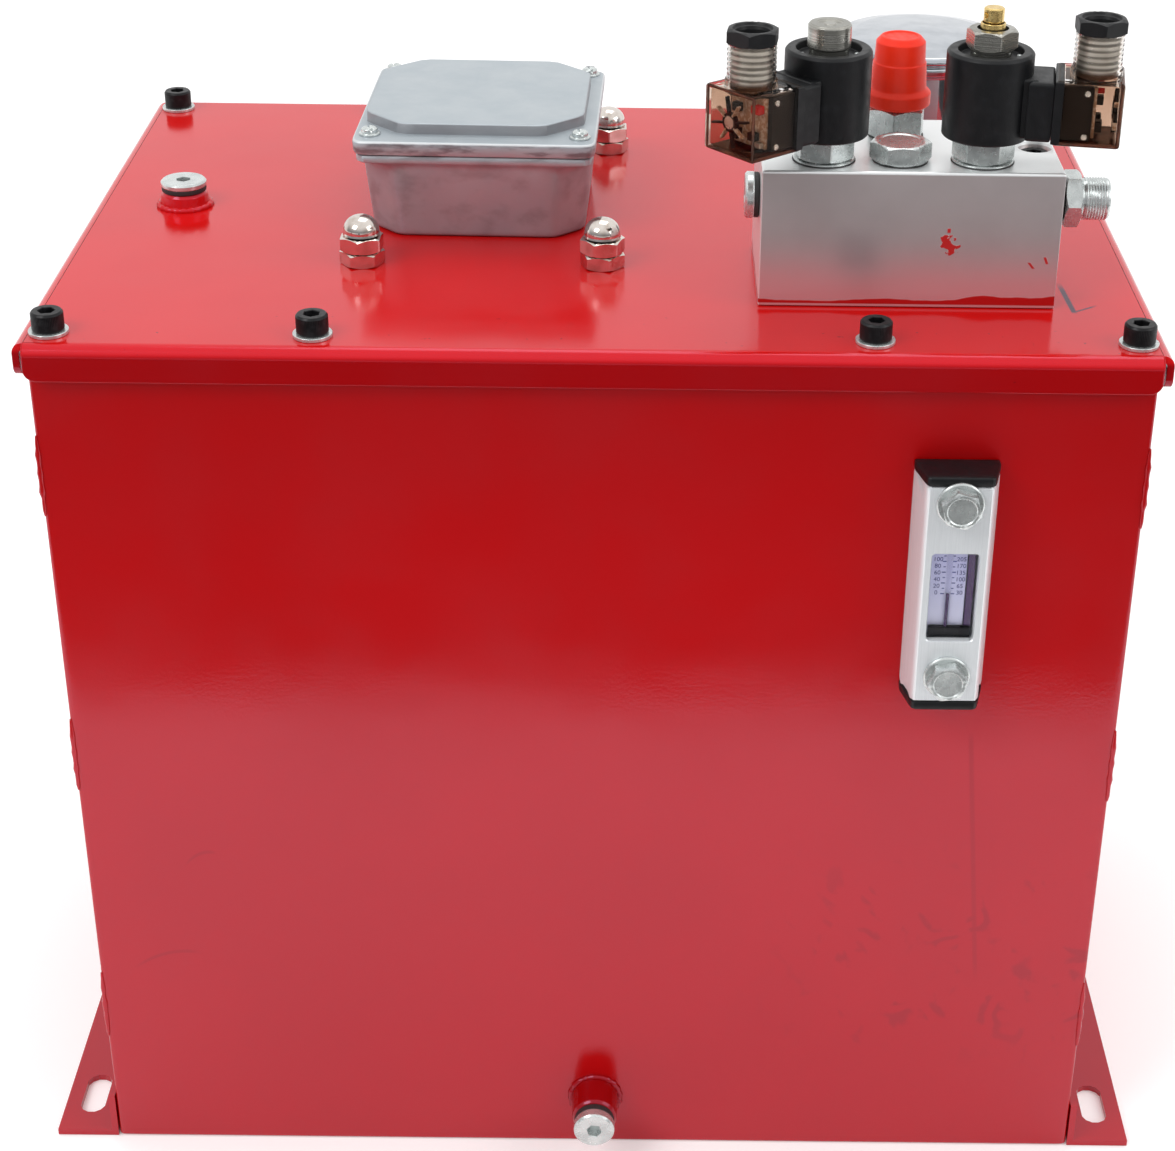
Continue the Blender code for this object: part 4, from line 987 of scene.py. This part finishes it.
def black_mould(ink):
    """Black glass-filled nylon: satin, with moulding grain and slightly paler rubbed spots."""
    rub = ink.noise(5, 4).ramp(0.5, 0.8)
    return {"Base Color": rub.mix(rgb(0.005, 0.0055, 0.0065), rgb(0.009, 0.010, 0.012)),
            "Roughness": ink.noise(4, 3).ramp(0.3, 0.7, 0.38, 0.5),
            "Specular IOR Level": 0.32, "Normal": (ink.noise(0.5, 2) + ink.noise(3, 2) * 0.8).bump(0.04)}


def machined_brass(ink):
    """Brass as turned, with fine rings and darker clouds."""
    cloud = ink.noise(3, 4).ramp(0.3, 0.75)
    return {"Base Color": cloud.mix(rgb(0.86, 0.64, 0.26), rgb(0.66, 0.46, 0.17)), "Metallic": 0.85,
            "Roughness": ink.noise(2, 3).ramp(0.3, 0.7, 0.18, 0.34),
            "Normal": ink.noise(0.5, 2, (4, 4, 0.3)).bump(0.02)}


def turned_zinc(ink):
    """Zinc over lathe marks: fine rings and a warmer, duller tone than the bolts."""
    rings_seen = ink.noise(1.0, 2, (40, 40, 0.5)).ramp(0.3, 0.7)
    return {"Base Color": rings_seen.mix(rgb(0.50, 0.49, 0.45), rgb(0.30, 0.295, 0.265)), "Metallic": 0.92,
            "Roughness": rings_seen * 0.1 + 0.24, "Normal": rings_seen.bump(0.02)}


BLACK, BRASS = finish("black_mould", black_mould), finish("machined_brass", machined_brass)
TURNED_ZINC = finish("turned_zinc", turned_zinc)
coil_angles = around(128)
FACING = {"left": math.radians(221), "right": math.radians(-9)}
fine = around(160)


def square_block(low, high, edge):
    """A box between two corners with all its edges rounded: rings about its own middle, climbing +Z."""
    low, high = np.array(low, float), np.array(high, float)
    half, middle = (high - low) / 2, (high + low) / 2
    angles = corner_angles(half[0], half[1], 32, 7)
    line = soften([(min(half[:2]) * 0.7, low[2], 0), (0, low[2], edge), (0, high[2], edge),
                   (min(half[:2]) * 0.7, high[2], 0)])
    return slab(box_sides(half[0], half[1]), line, angles, 120) + np.array([middle[0], middle[1], 0])


for side in ("left", "right"):
    body_low, body_high = box_of(f"valve_body_{side}")
    nut_low, nut_high = box_of(f"coil_nut_{side}")
    x, y = (nut_low + nut_high)[:2] / 2
    coil_low, coil_high = box_of(f"coil_{side}")
    foot, crest = coil_low[2], coil_high[2]
    hexes = nut_rings(11, deck + 1.2, foot - 0.3, nut_angles, 8 if side == "left" else 22)
    skirt = turned(soften([(1, deck + 0.1, 0), (12.6, deck + 0.1, 0.3), (12.6, deck + 1.2, 0.3),
                           (9, deck + 1.2, 0)]), nut_angles)
    part(skin(f"cartridge_{side}", np.concatenate([skirt, hexes]), ZINC, at=(x, y, 0), sharp=24), "unit",
         "zinc", f"valve_body_{side}")
    dark_gasket(f"cartridge_seal_{side}", x, y, 12.9, deck - 0.15)

    shell = soften([(7.3, foot, 0), (17.0, foot, 0.4), (17.5, foot + 0.6, 0.4), (17.5, crest - 1.2, 1.0),
                    (16.5, crest, 0.8),
                    (13.2, crest, 0.5), (12.6, crest - 3, 0.5), (7.3, crest - 3, 0)], 5)
    bore = np.array([(7.3, crest - 3), (7.3, foot)])
    rows = np.concatenate([turned(shell, coil_angles), turned(bore, coil_angles)[1:]])
    part(skin(f"coil_case_{side}", rows, BLACK, closed=True, at=(x, y, 0), sharp=50), "unit", "black_plastic",
         f"coil_{side}")
    spin = about(FACING[side])
    arm = square_block((10.5, -10.5, foot + 2.2), (19.8, 10.5, foot + 26.4), 1.0)
    part(skin(f"coil_shoulder_{side}", arm, BLACK, at=(x, y, 0), turn=spin), "unit", "black_plastic")
    pad = square_block((16, -12.5, foot + 1.8), (26.1, 12.5, foot + 26.0), 1.4)
    part(skin(f"coil_socket_{side}", pad, BLACK, at=(x, y, 0), turn=spin), "unit", "black_plastic")

    for number, swing in enumerate((0.0, math.pi)):
        pin = turned(soften([(0.2, crest - 3.1, 0), (1.15, crest - 3.1, 0.1), (1.15, crest - 1.6, 0.5),
                             (0.2, crest - 1.4, 0)]),
                     around(24))
        spot = (x + 11.1 * math.cos(swing), y + 11.1 * math.sin(swing) - 2.5, 0)
        part(skin(f"coil_pin_{side}_{number + 1}", pin, ZINC, at=spot), "unit", "zinc")

    seat, tall = crest - 2.95, nut_high[2]
    if side == "left":
        line = [(7.5, seat, 0), (8.0, seat, 0.2), (8.0, seat + 3.0, 0.3), (8.7, seat + 3.6, 0.3),
                (8.7, tall - 0.9, 0.3),
                (7.9, tall, 0.3), (5.4, tall, 0.3), (4.6, tall - 0.7, 0.2), (2.6, tall - 0.7, 0.3),
                (2.2, tall - 0.2, 0.2),
                (0.5, tall - 0.2, 0)]
        rows = turned(soften(line), fine)
    else:
        low_part = turned(soften([(7.5, seat, 0), (8.2, seat, 0.2), (8.2, seat + 3.4, 0.2),
                                  (8.0, seat + 3.5, 0)]), fine)
        flats = nut_rings(9.1, seat + 3.6, tall, fine, 12, 0.7)[1:-1]
        upper = turned(soften([(7.2, tall, 0), (6.4, tall + 0.1, 0.1), (5.2, tall + 0.1, 0.2),
                               (2.5, tall + 0.1, 0.1), (2.3, tall - 2, 0)]), fine)
        rows = np.concatenate([low_part, flats, upper])
        sleeve = washer_ring(4.45, 5.0, tall, tall + 2.3, fine, 0.4)
        part(skin("knob_sleeve", sleeve, BRASS, closed=True, at=(x, y, 0), sharp=40), "unit", "brass")
    part(skin(f"tube_nut_{side}", rows, TURNED_ZINC, at=(x, y, 0), sharp=26), "unit", "zinc",
         f"coil_nut_{side}")

knob_low, knob_high = box_of("lowering_knob")
x, y = (knob_low + knob_high)[:2] / 2
tall, skirt_low, KNOB_RADIUS = knob_high[2], 522.1, 4.1
start = soften([(0.3, knob_low[2], 0), (1.8, knob_low[2], 0.2), (1.8, skirt_low, 0.1), (3.9, skirt_low, 0.3),
                (KNOB_RADIUS, skirt_low + 0.6, 0)])
knob_top = soften([(KNOB_RADIUS, tall - 0.7, 0), (KNOB_RADIUS, tall - 0.5, 0.1), (3.5, tall, 0.3),
                   (1.6, tall, 0.1),
                   (0.3, tall - 0.1, 0)])
straight = np.linspace(skirt_low + 0.8, tall - 0.9, 26)
knob_line = np.concatenate([start, np.c_[np.full(26, KNOB_RADIUS), straight], knob_top])
rows = turned(knob_line, fine)
bend = (fine + math.radians(148) + math.pi) % (2 * math.pi) - math.pi
gap = np.hypot(bend[None] * KNOB_RADIUS, rows[..., 2] - (tall - 2.8))
sunk = 1 - 0.5 * np.clip((1.2 - gap) / 0.3, 0,
                         1) * (np.hypot(rows[..., 0], rows[..., 1]) > KNOB_RADIUS - 0.05)
rows[..., :2] *= sunk[..., None]
part(skin("brass_knob", rows, BRASS, at=(x, y, 0), sharp=40), "lowering_knob", "brass", "lowering_knob")


# ---------------------------------------------------------------- coil connectors
# A square plug on each coil: a black terminal insert under a clear smoked cover with a lamp board in
# it, and on top a clear threaded sleeve with the black hexagon nut that grips the cable.

def smoked_cover(ink):
    """Clear moulding tinted brown: every pass through a wall takes a little more light away."""
    cloud = ink.noise(12, 3).ramp(0.3, 0.8)
    return {"Base Color": cloud.mix(rgb(0.70, 0.56, 0.47), rgb(0.58, 0.43, 0.34)), "Transmission Weight": 1.0,
            "Roughness": ink.noise(5, 3).ramp(0.3, 0.7, 0.02, 0.06), "IOR": 1.13,
            "Normal": ink.noise(6, 2).bump(0.04)}


def clear_sleeve(ink):
    """Clear moulding, faintly warm."""
    cloud = ink.noise(6, 3).ramp(0.3, 0.8)
    return {"Base Color": cloud.mix(rgb(0.90, 0.87, 0.83), rgb(0.80, 0.76, 0.71)), "Transmission Weight": 1.0,
            "Roughness": 0.05, "IOR": 1.16, "Normal": ink.noise(6, 2).bump(0.02)}


def painted_edge_shade(ink):
    """The moulding's edges, where light crosses so much of it that they look almost black."""
    return {"Base Color": ink.noise(8, 3).ramp(0.35, 0.65).mix(rgb(0.045, 0.014, 0.010),
                                                               rgb(0.16, 0.055, 0.03)),
            "Roughness": 0.15}


def packing_grey(ink):
    """The rubber packing and metal ring seen through the sleeve, as pale and dark rings, with painted shade
    at the foot, where the sleeve meets the cover.
    """
    _, _, z = ink.place()
    stripe = abs((z * 0.42).fraction() - 0.5).ramp(0.12, 0.42)
    tone = stripe.mix(rgb(0.50, 0.48, 0.45), rgb(0.16, 0.15, 0.135))
    # Painted shade: dark brown below z 504.5, where the sleeve meets the cover.
    return {"Base Color": z.ramp(506.5, 504.5).mix(tone, rgb(0.10, 0.05, 0.03)), "Metallic": 0.6,
            "Roughness": 0.32,
            "Normal": stripe.bump(0.1)}


def lamp_red(ink):
    """The indicator lamp's red lens."""
    return {"Base Color": ink.noise(1, 2).mix(rgb(0.8, 0.01, 0.01), rgb(0.65, 0.01, 0.01)), "Roughness": 0.2}


def board_tan(ink):
    """A bare circuit board, with pale solder spots."""
    spots = ink.noise(1.4, 3).ramp(0.52, 0.56)
    return {"Base Color": spots.mix(rgb(0.50, 0.36, 0.25), rgb(0.75, 0.70, 0.64)), "Roughness": 0.4}


SMOKED, LAMP_RED, BOARD = finish("smoked_cover", smoked_cover), finish("lamp_red",
                                                                       lamp_red), finish("lamp_board",
                                                                                         board_tan)
PACKING, EDGE_SHADE, SLEEVE = finish("packing_grey", packing_grey), finish("painted_edge_shade",
                                                                     painted_edge_shade), finish("clear_sleeve",
                                                                                         clear_sleeve)


def in_plug(name, points, material, spot, angle, slot, closed=False, node=None, sharp=38):
    """Put a connector piece, made with the coil's axis as its origin, onto its coil."""
    piece = skin(name, points, material, closed=closed, at=(*spot, 0), turn=about(angle), sharp=sharp)
    return part(piece, "unit", slot, *([node] if node else []))


low, high, half = 477.0, 503.5, 13.8
near, far = 26.5, 53.3
middle = (near + far) / 2
GLAND_SEAT = 520.0
CABLE_AXIS = np.array([42.0, 0, 0])
for side in ("left", "right"):
    nut_low, nut_high = box_of(f"coil_nut_{side}")
    spot = (nut_low + nut_high)[:2] / 2
    gland_low, gland_high = box_of(f"gland_nut_{side}")
    angle = FACING[side]
    angles = corner_angles((far - near) / 2, half, 32, 7)
    wall_line = soften([(11, low, 0), (0, low, 1.6), (0, high, 1.4), (3.4, high, 0.3), (3.4, high, 0)])
    outer = slab(box_sides((far - near) / 2, half), wall_line, angles, 60) + np.array([middle, 0, 0])
    inner_line = soften([(9, low + 1.6, 0), (1.7, low + 1.6, 1), (1.7, high - 1.6, 1), (9, high - 1.6, 0)])
    cover_in = slab(box_sides((far - near) / 2, half), inner_line, angles, 60) + np.array([middle, 0, 0])
    in_plug(f"connector_cover_{side}", outer, SMOKED, spot, angle, "smoked_plastic", node=f"connector_{side}")
    in_plug(f"connector_space_{side}", cover_in[:, ::-1], SMOKED, spot, angle, "smoked_plastic")
    # A dark brown tube along the cover's edges and a dark plate in its floor: painted shade where light
    # crosses the moulding lengthwise.
    out, wide, foot, crest = far - 0.9, half - 0.9, low + 0.9, high - 0.9
    corners = [(out, -wide, foot), (out, wide, foot), (out, wide, crest), (out, -wide, crest)]
    loop = np.concatenate([np.linspace(a, b, 30, endpoint=False) for a,
                           b in zip(corners, corners[1:] + corners[:1])])
    run_along = np.roll(loop, -1, 0) - np.roll(loop, 1, 0)
    run_along /= np.linalg.norm(run_along, axis=1)[:, None]
    inward = np.cross(run_along, [1.0, 0, 0])
    tube = [loop + 0.55 * (math.cos(t) * inward + math.sin(t) * np.array([1.0, 0, 0])) for t in around(8)]
    in_plug(f"cover_edge_shade_{side}", np.stack(tube)[::-1], EDGE_SHADE, spot, angle, "smoked_plastic", closed=True,
            sharp=80)
    floor_plate = square_block((near + 2, -12.6, low + 0.5), (far - 1.4, 12.6, low + 1.5), 0.3)
    in_plug(f"cover_floor_shade_{side}", floor_plate, EDGE_SHADE, spot, angle, "smoked_plastic")
    base_part = square_block((near - 0.3, -13.9, low + 0.6), (near + 3.2, 13.9, high - 0.4), 1.0)
    in_plug(f"terminal_base_{side}", base_part, BLACK, spot, angle, "black_plastic")
    insert = square_block((near + 1.9, -11.6, low + 2), (near + 15.0, 11.6, high - 2.2), 0.8)
    in_plug(f"terminal_insert_{side}", insert, BLACK, spot, angle, "black_plastic")
    for number, (post_y, post_z) in enumerate(((-11.8, low + 4), (-11.8, high - 5), (11.8, low + 4),
                                               (11.8, high - 5))):
        post = turned(soften([(0.2, -1, 0), (1.3, -1, 0.1), (1.3, 0.6, 0.4), (0.2, 0.7, 0)]), around(24))
        way = 1 if post_y > 0 else -1
        outward = post @ np.array([[1, 0, 0], [0, 0, way], [0, -way, 0]], float).T
        outward += np.array([near + 12.6, post_y * 0.985, post_z])
        in_plug(f"insert_stud_{side}_{number + 1}", outward, ZINC, spot, angle, "zinc")
    board = square_block((near + 15.2, -9.5, low + 3), (near + 16.4, 9.5, high - 3), 0.3)
    in_plug(f"lamp_board_{side}", board, BOARD, spot, angle, "smoked_plastic")
    bulb = square_block((near + 16.5, 5.0, high - 9.5), (near + 19.6, 8.6, high - 6.0), 0.8)
    in_plug(f"lamp_{side}", bulb, LAMP_RED, spot, angle, "red_plastic")
    for number, (chip_y, chip_z, size) in enumerate(((-5, low + 7, 2.2), (4.5, low + 7.5, 1.7),
                                                     (-4.5, high - 9, 1.8), (7.5, low + 4.5, 1.2))):
        chip = square_block((near + 16.5, chip_y - size, chip_z - size),
                            (near + 18.0 + size * 0.6, chip_y + size, chip_z + size), 0.4)
        in_plug(f"chip_{side}_{number + 1}", chip, ZINC if number == 3 else BLACK, spot, angle,
                "black_plastic")
    hub = np.array([far - 2.6, -1.5, low + 13.0])
    for number in range(8):
        swing = math.radians(45 * number + 12)
        reach_out = 8.6 if number % 2 else 10.2
        rib = square_block((-0.9, 3.2, -0.45), (0.9, reach_out, 0.45), 0.2)
        c, n = math.cos(swing), math.sin(swing)
        rib = rib @ np.array([[1, 0, 0], [0, c, -n], [0, n, c]], float).T + hub
        in_plug(f"cover_rib_{side}_{number + 1}", rib, BOARD if number % 2 else BLACK, spot, angle,
                "smoked_plastic")
    collar_ring = washer_ring(2.6, 3.9, -1.2, 0.8, around(48)) @ RIGHT.T + hub
    in_plug(f"screw_collar_{side}", collar_ring, BLACK, spot, angle, "black_plastic", closed=True)
    screw_head = turned(soften([(0.4, 0, 0), (2.9, 0, 0.2), (2.9, 2.2, 0.4), (0.4, 2.2, 0)]), around(40))
    forward = screw_head @ RIGHT.T + hub - np.array([1.4, 0, 0])
    in_plug(f"plug_screw_{side}", forward, ZINC, spot, angle, "zinc")

    sleeve = soften([(8.9, high - 2, 0), (10.4, high - 2, 0.3), (10.3, high + 2.6, 0.3),
                     (9.7, high + 3.2, 0.2), (9.7, high + 3.6, 0)])
    ribs = thread_rings(9.75, high + 3.6, GLAND_SEAT - 0.1, 1.9, fine, 0.35)
    throat = turned(np.array([(8.7, GLAND_SEAT - 0.1), (8.7, high - 2)]), fine)
    rows = np.concatenate([turned(sleeve, fine), ribs, throat]) + CABLE_AXIS
    in_plug(f"cable_sleeve_{side}", rows, SLEEVE, spot, angle, "smoked_plastic", closed=True, sharp=60)
    packing = soften([(2.6, high - 1, 0), (8.3, high - 1, 0.5), (8.3, GLAND_SEAT, 0.5), (2.6, GLAND_SEAT, 0)])
    in_plug(f"cable_packing_{side}", turned(packing, around(64)) + CABLE_AXIS, PACKING, spot, angle, "rubber",
            closed=True)

    top = gland_high[2]
    flats = nut_rings(9.5, GLAND_SEAT + 0.1, top, fine, 10)[:-1]
    hole = turned(soften([(7.9, top, 0.3), (7.4, top - 0.9, 0.3), (6.8, top - 1.2, 0.3),
                          (6.4, top - 2.4, 0.2),
                          (6.2, GLAND_SEAT + 0.1, 0)]), fine)
    rows = np.concatenate([flats, hole]) + CABLE_AXIS
    in_plug(f"cable_nut_{side}", rows, BLACK, spot, angle, "black_plastic", closed=True,
            node=f"gland_nut_{side}", sharp=24)


# ---------------------------------------------------------------- level gauge
# An anodised aluminium housing with black end caps, two hollow zinc bolts 80 mm apart, and between them
# a window over a white scale with a thermometer.

def anodised(ink):
    """Satin anodised extrusion with faint vertical lines."""
    drawn = ink.noise(1.1, 3, (0.4, 0.4, 16)).ramp(0.3, 0.75)
    return {"Base Color": drawn.mix(rgb(0.80, 0.83, 0.85), rgb(0.74, 0.77, 0.79)), "Metallic": 0.45,
            "Roughness": drawn * 0.08 + 0.32, "Normal": drawn.bump(0.015)}


def scale_card(ink):
    """White to lilac card with graduation lines on both sides of the tube."""
    x, _, z = ink.place()
    aside, rise = abs(x - CARD_X), z - 290.5
    lilac = z.ramp(288, 322)
    inside = z.ramp(303.2, 303.6) * z.ramp(324.4, 324.0)
    short = abs((rise / 2.5).off_whole()).ramp(0.12, 0.06) * abs(aside - 1.9).ramp(0.6, 0.4)
    long = abs((rise / 5.0).off_whole()).ramp(0.07, 0.03) * abs(aside - 2.1).ramp(0.9, 0.7)
    ink_mask = short.most(long) * inside
    paper = lilac.mix(rgb(0.80, 0.80, 0.93), rgb(0.62, 0.62, 0.84))
    return {"Base Color": ink_mask.mix(paper, rgb(0.04, 0.05, 0.25)), "Roughness": 0.35}


def clear_window(ink):
    """Clear polycarbonate."""
    return {"Base Color": ink.noise(8, 2).mix(rgb(0.97, 0.97, 1.0), rgb(0.93, 0.93, 0.98)),
            "Transmission Weight": 1.0,
            "Roughness": 0.02, "IOR": 1.2, "Normal": ink.noise(12, 2).bump(0.02)}


def dark_ink(ink):
    """Dark blue printing ink."""
    return {"Base Color": ink.noise(1, 2).mix(rgb(0.03, 0.03, 0.2), rgb(0.04, 0.04, 0.25)), "Roughness": 0.5}


def spirit(ink):
    """Dark dyed spirit, and the window's shaded side wall."""
    return {"Base Color": ink.noise(1, 2).mix(rgb(0.05, 0.03, 0.12), rgb(0.1, 0.03, 0.1)), "Roughness": 0.2}


gauge_low, gauge_high = box_of("gauge_housing")
gauge_x, gauge_z = (gauge_low[0] + gauge_high[0]) / 2, (gauge_low[2] + gauge_high[2]) / 2
CARD_X = gauge_x - 1.6
ANODISED, CARD = finish("anodised", anodised), finish("scale_card", scale_card)
WINDOW, INK, SPIRIT_AND_SHADE = finish("gauge_window", clear_window), finish("scale_ink",
                                                                   dark_ink), finish("spirit", spirit)
depth = gauge_high[1] - gauge_low[1]
window_low, window_high = box_of("gauge_window")
slot_z = (window_low[2] + window_high[2]) / 2 - gauge_z
length = (gauge_high[2] - gauge_low[2]) / 2
gauge_angles = corner_angles(14, length, 96, 8)
slot_half_x, slot_half_z = 9.8, (window_high[2] - window_low[2]) / 2 + 0.3


frame_layers = [(16.8, length - 0.4, 0), (17.25, length, 0.4), (17.25, length, 3.0), (17.1, length, 3.6),
                (14.4, length, depth - 3.2), (14.0, length, depth - 2.4), (13.2, length - 0.3, depth - 0.7),
                (12.4, length - 0.8, depth), (12.0, length - 1.2, depth)]
slot_layers = [(slot_half_x + 0.5, slot_half_z + 0.6, depth), (slot_half_x + 0.2, slot_half_z + 0.3, depth),
               (slot_half_x - 0.1, slot_half_z, depth - 0.5),
               (slot_half_x - 0.3, slot_half_z - 0.2, depth - 12),
               (2, 6, depth - 12)]
house = []
for layers, shift, crisp in ((frame_layers, 0.0, 90), (slot_layers, slot_z, 24)):
    for wide, tall, out in layers:
        radii = polygon(gauge_angles, box_sides(wide, tall), 0.0, crisp)
        house.append(rings(radii, [out], gauge_angles)[0] + np.array([0, shift, 0]))
back = np.array([gauge_x, gauge_high[1], gauge_z])
part(skin("gauge_body", house, ANODISED, at=back, turn=FRONT, sharp=30), "unit", "anodised", "gauge_housing")

card_y = gauge_low[1] + 6.0
card_low, card_high = window_low[2] + 0.6, window_high[2] - 0.6
paper_points = square_block((CARD_X - 7.2, card_y, card_low), (CARD_X + 7.2, card_y + 1.0, card_high), 0.2)
part(skin("gauge_scale", paper_points, CARD), "unit", "gauge_glass")
for name, material, radius, ends in (("gauge_tube", WINDOW, 1.2, (0.8, 0.8)),
                                     ("gauge_spirit", SPIRIT_AND_SHADE, 0.5, (1.5, 20))):
    rod = turned(soften([(0.2, window_low[2] + ends[0], 0), (radius, window_low[2] + ends[0], radius * 0.4),
                         (radius, window_high[2] - ends[1], radius * 0.4),
                         (0.2, window_high[2] - ends[1], 0)]), around(24))
    part(skin(name, rod, material, at=(CARD_X, card_y - 1.5, 0)), "unit", "gauge_glass")
# A dark strip beside the card: painted shade on the window's side wall.
wall_shade_points = square_block((gauge_x + 6.0, card_y - 1.0, card_low), (gauge_x + 8.8, card_y + 1.0, card_high),
                           0.3)
part(skin("gauge_wall_shade", wall_shade_points, SPIRIT_AND_SHADE), "unit", "gauge_glass")
trough = square_block((gauge_x - 8.6, card_y - 2.6, window_low[2] + 0.3),
                      (gauge_x + 8.6, card_y - 0.2, window_low[2] + 4.6), 0.4)
part(skin("gauge_trough", trough, BLACK), "unit", "black_plastic")
pane = square_block((window_low[0] + 0.2, window_low[1], window_low[2] + 0.2),
                    (window_high[0] - 0.2, window_low[1] + 1.2, window_high[2] - 0.2), 0.3)
part(skin("gauge_pane", pane, WINDOW), "unit", "gauge_glass", "gauge_window")


def number_mesh(text, x, z, size):
    """A small printed number, as a flat mesh standing just before the card."""
    curve = bpy.data.curves.new("number_" + text, "FONT")
    curve.body, curve.size, curve.extrude = text, size * MM, 0.02 * MM
    curve.align_x, curve.align_y = "CENTER", "CENTER"
    holder = bpy.data.objects.new("number_holder", curve)
    scene.collection.objects.link(holder)
    bpy.context.view_layer.update()
    mesh = bpy.data.meshes.new_from_object(holder.evaluated_get(bpy.context.evaluated_depsgraph_get()))
    bpy.data.objects.remove(holder)
    points = np.empty(len(mesh.vertices) * 3)
    mesh.vertices.foreach_get("co", points)
    points = points.reshape(-1, 3) @ FRONT.T + np.array([x, card_y - 0.1, z]) * MM
    mesh.vertices.foreach_set("co", points.ravel())
    mesh.materials.clear()
    mesh.materials.append(INK)
    piece = bpy.data.objects.new(f"scale_number_{text}_{'l' if x < gauge_x else 'r'}", mesh)
    scene.collection.objects.link(piece)
    part(piece, "unit", "gauge_glass")


for step in range(6):
    number_mesh(str(20 * step), CARD_X - 4.7, 306.0 + 3.1 * step, 2.7)
    number_mesh(str(30 + 35 * step), CARD_X + 4.9, 306.0 + 3.1 * step, 2.7)

for end in ("top", "bottom"):
    low, high = box_of(f"gauge_cap_{end}")
    flank = np.array([(-17.25, 0, 0), (-17.25, 3.2, 0.5), (-14.4, depth - 3, 1.5), (-13.6, depth - 0.7, 1),
                      (-12.4, depth, 0.8)])
    outline = soften(np.concatenate([flank, flank[::-1] * (-1, 1, 1)]), 3)
    tall = high[2] - low[2] + 0.25
    shares = np.array([(0.97, 0), (1, 0.35), (1, tall - 0.9), (0.985, tall - 0.4), (0.94, tall)])
    if end == "bottom":
        shares = np.c_[shares[::-1, 0], tall - shares[::-1, 1]]
    rows = np.empty((len(shares), len(outline), 3))
    rows[..., 0] = outline[:, 0] * shares[:, :1] + gauge_x
    rows[..., 1] = gauge_high[1] - depth / 2 - (outline[:, 1] - depth / 2) * shares[:, :1]
    start = low[2] - 0.25 if end == "top" else low[2]
    rows[..., 2] = start + shares[:, 1:]
    part(skin(f"gauge_end_{end}", rows, BLACK, sharp=50), "unit", "black_plastic", f"gauge_cap_{end}")

    low, high = box_of(f"gauge_bolt_{end}")
    x, z = (low + high)[0] / 2, (low + high)[2] / 2
    plate = turned(soften([(1, 0, 0), (9.7, 0, 0.4), (9.7, 1.2, 0.5), (9.0, 1.7, 0.3), (7, 1.7, 0)]), fine)
    face = gauge_low[1] - low[1] - 0.1
    six = nut_rings(7.3, 1.6, face, fine, 15 if end == "top" else 40)
    dish = turned(np.array([(6.2, face), (5.7, face - 0.4), (0.8, face - 0.5)]), fine)
    rows = np.concatenate([plate, six[:-1], dish])
    part(skin(f"gauge_screw_{end}", rows, ZINC, at=(x, gauge_low[1] - 0.05, z), turn=FRONT, sharp=24), "unit",
         "zinc", f"gauge_bolt_{end}")


# ---------------------------------------------------------------- pieces in the oil
# The motor, gear pump, strainer, pipe, gasket and valve plungers keep their own shapes.  They are oiled
# iron, ground steel, woven mesh and rubber.

def oiled_iron(ink):
    """Dark castings, wet with oil."""
    cloud = ink.noise(12, 5).ramp(0.35, 0.7)
    return {"Base Color": cloud.mix(rgb(0.10, 0.10, 0.11), rgb(0.2, 0.19, 0.18)), "Metallic": 0.7,
            "Roughness": ink.noise(5, 3).ramp(0.3, 0.7, 0.35, 0.6), "Normal": ink.noise(1.2, 3).bump(0.1)}


def wire_mesh(ink):
    """Woven wire: two sine waves, one along and one round, multiplied."""
    x, y, z = ink.place()
    weave = ink.math("SINE", (x + y) * 3.0) * ink.math("SINE", z * 4.0)
    return {"Base Color": weave.ramp(-0.5, 0.5).mix(rgb(0.25, 0.25, 0.24), rgb(0.6, 0.6, 0.58)),
            "Metallic": 0.9, "Roughness": 0.4,
            "Normal": weave.bump(0.1)}


IRON, MESH = finish("oiled_iron", oiled_iron), finish("wire_mesh", wire_mesh)
kept = {"lid_gasket": SEAL, "motor_can": IRON, "pump_housing": IRON, "suction_strainer": MESH,
        "terminal_block": BLACK}
for node in ("motor_rotor", "pump_gear", "pressure_pipe", "plunger_left", "plunger_right"):
    kept[node] = STEEL
for node, material in kept.items():
    coat(node, material)

low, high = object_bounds()
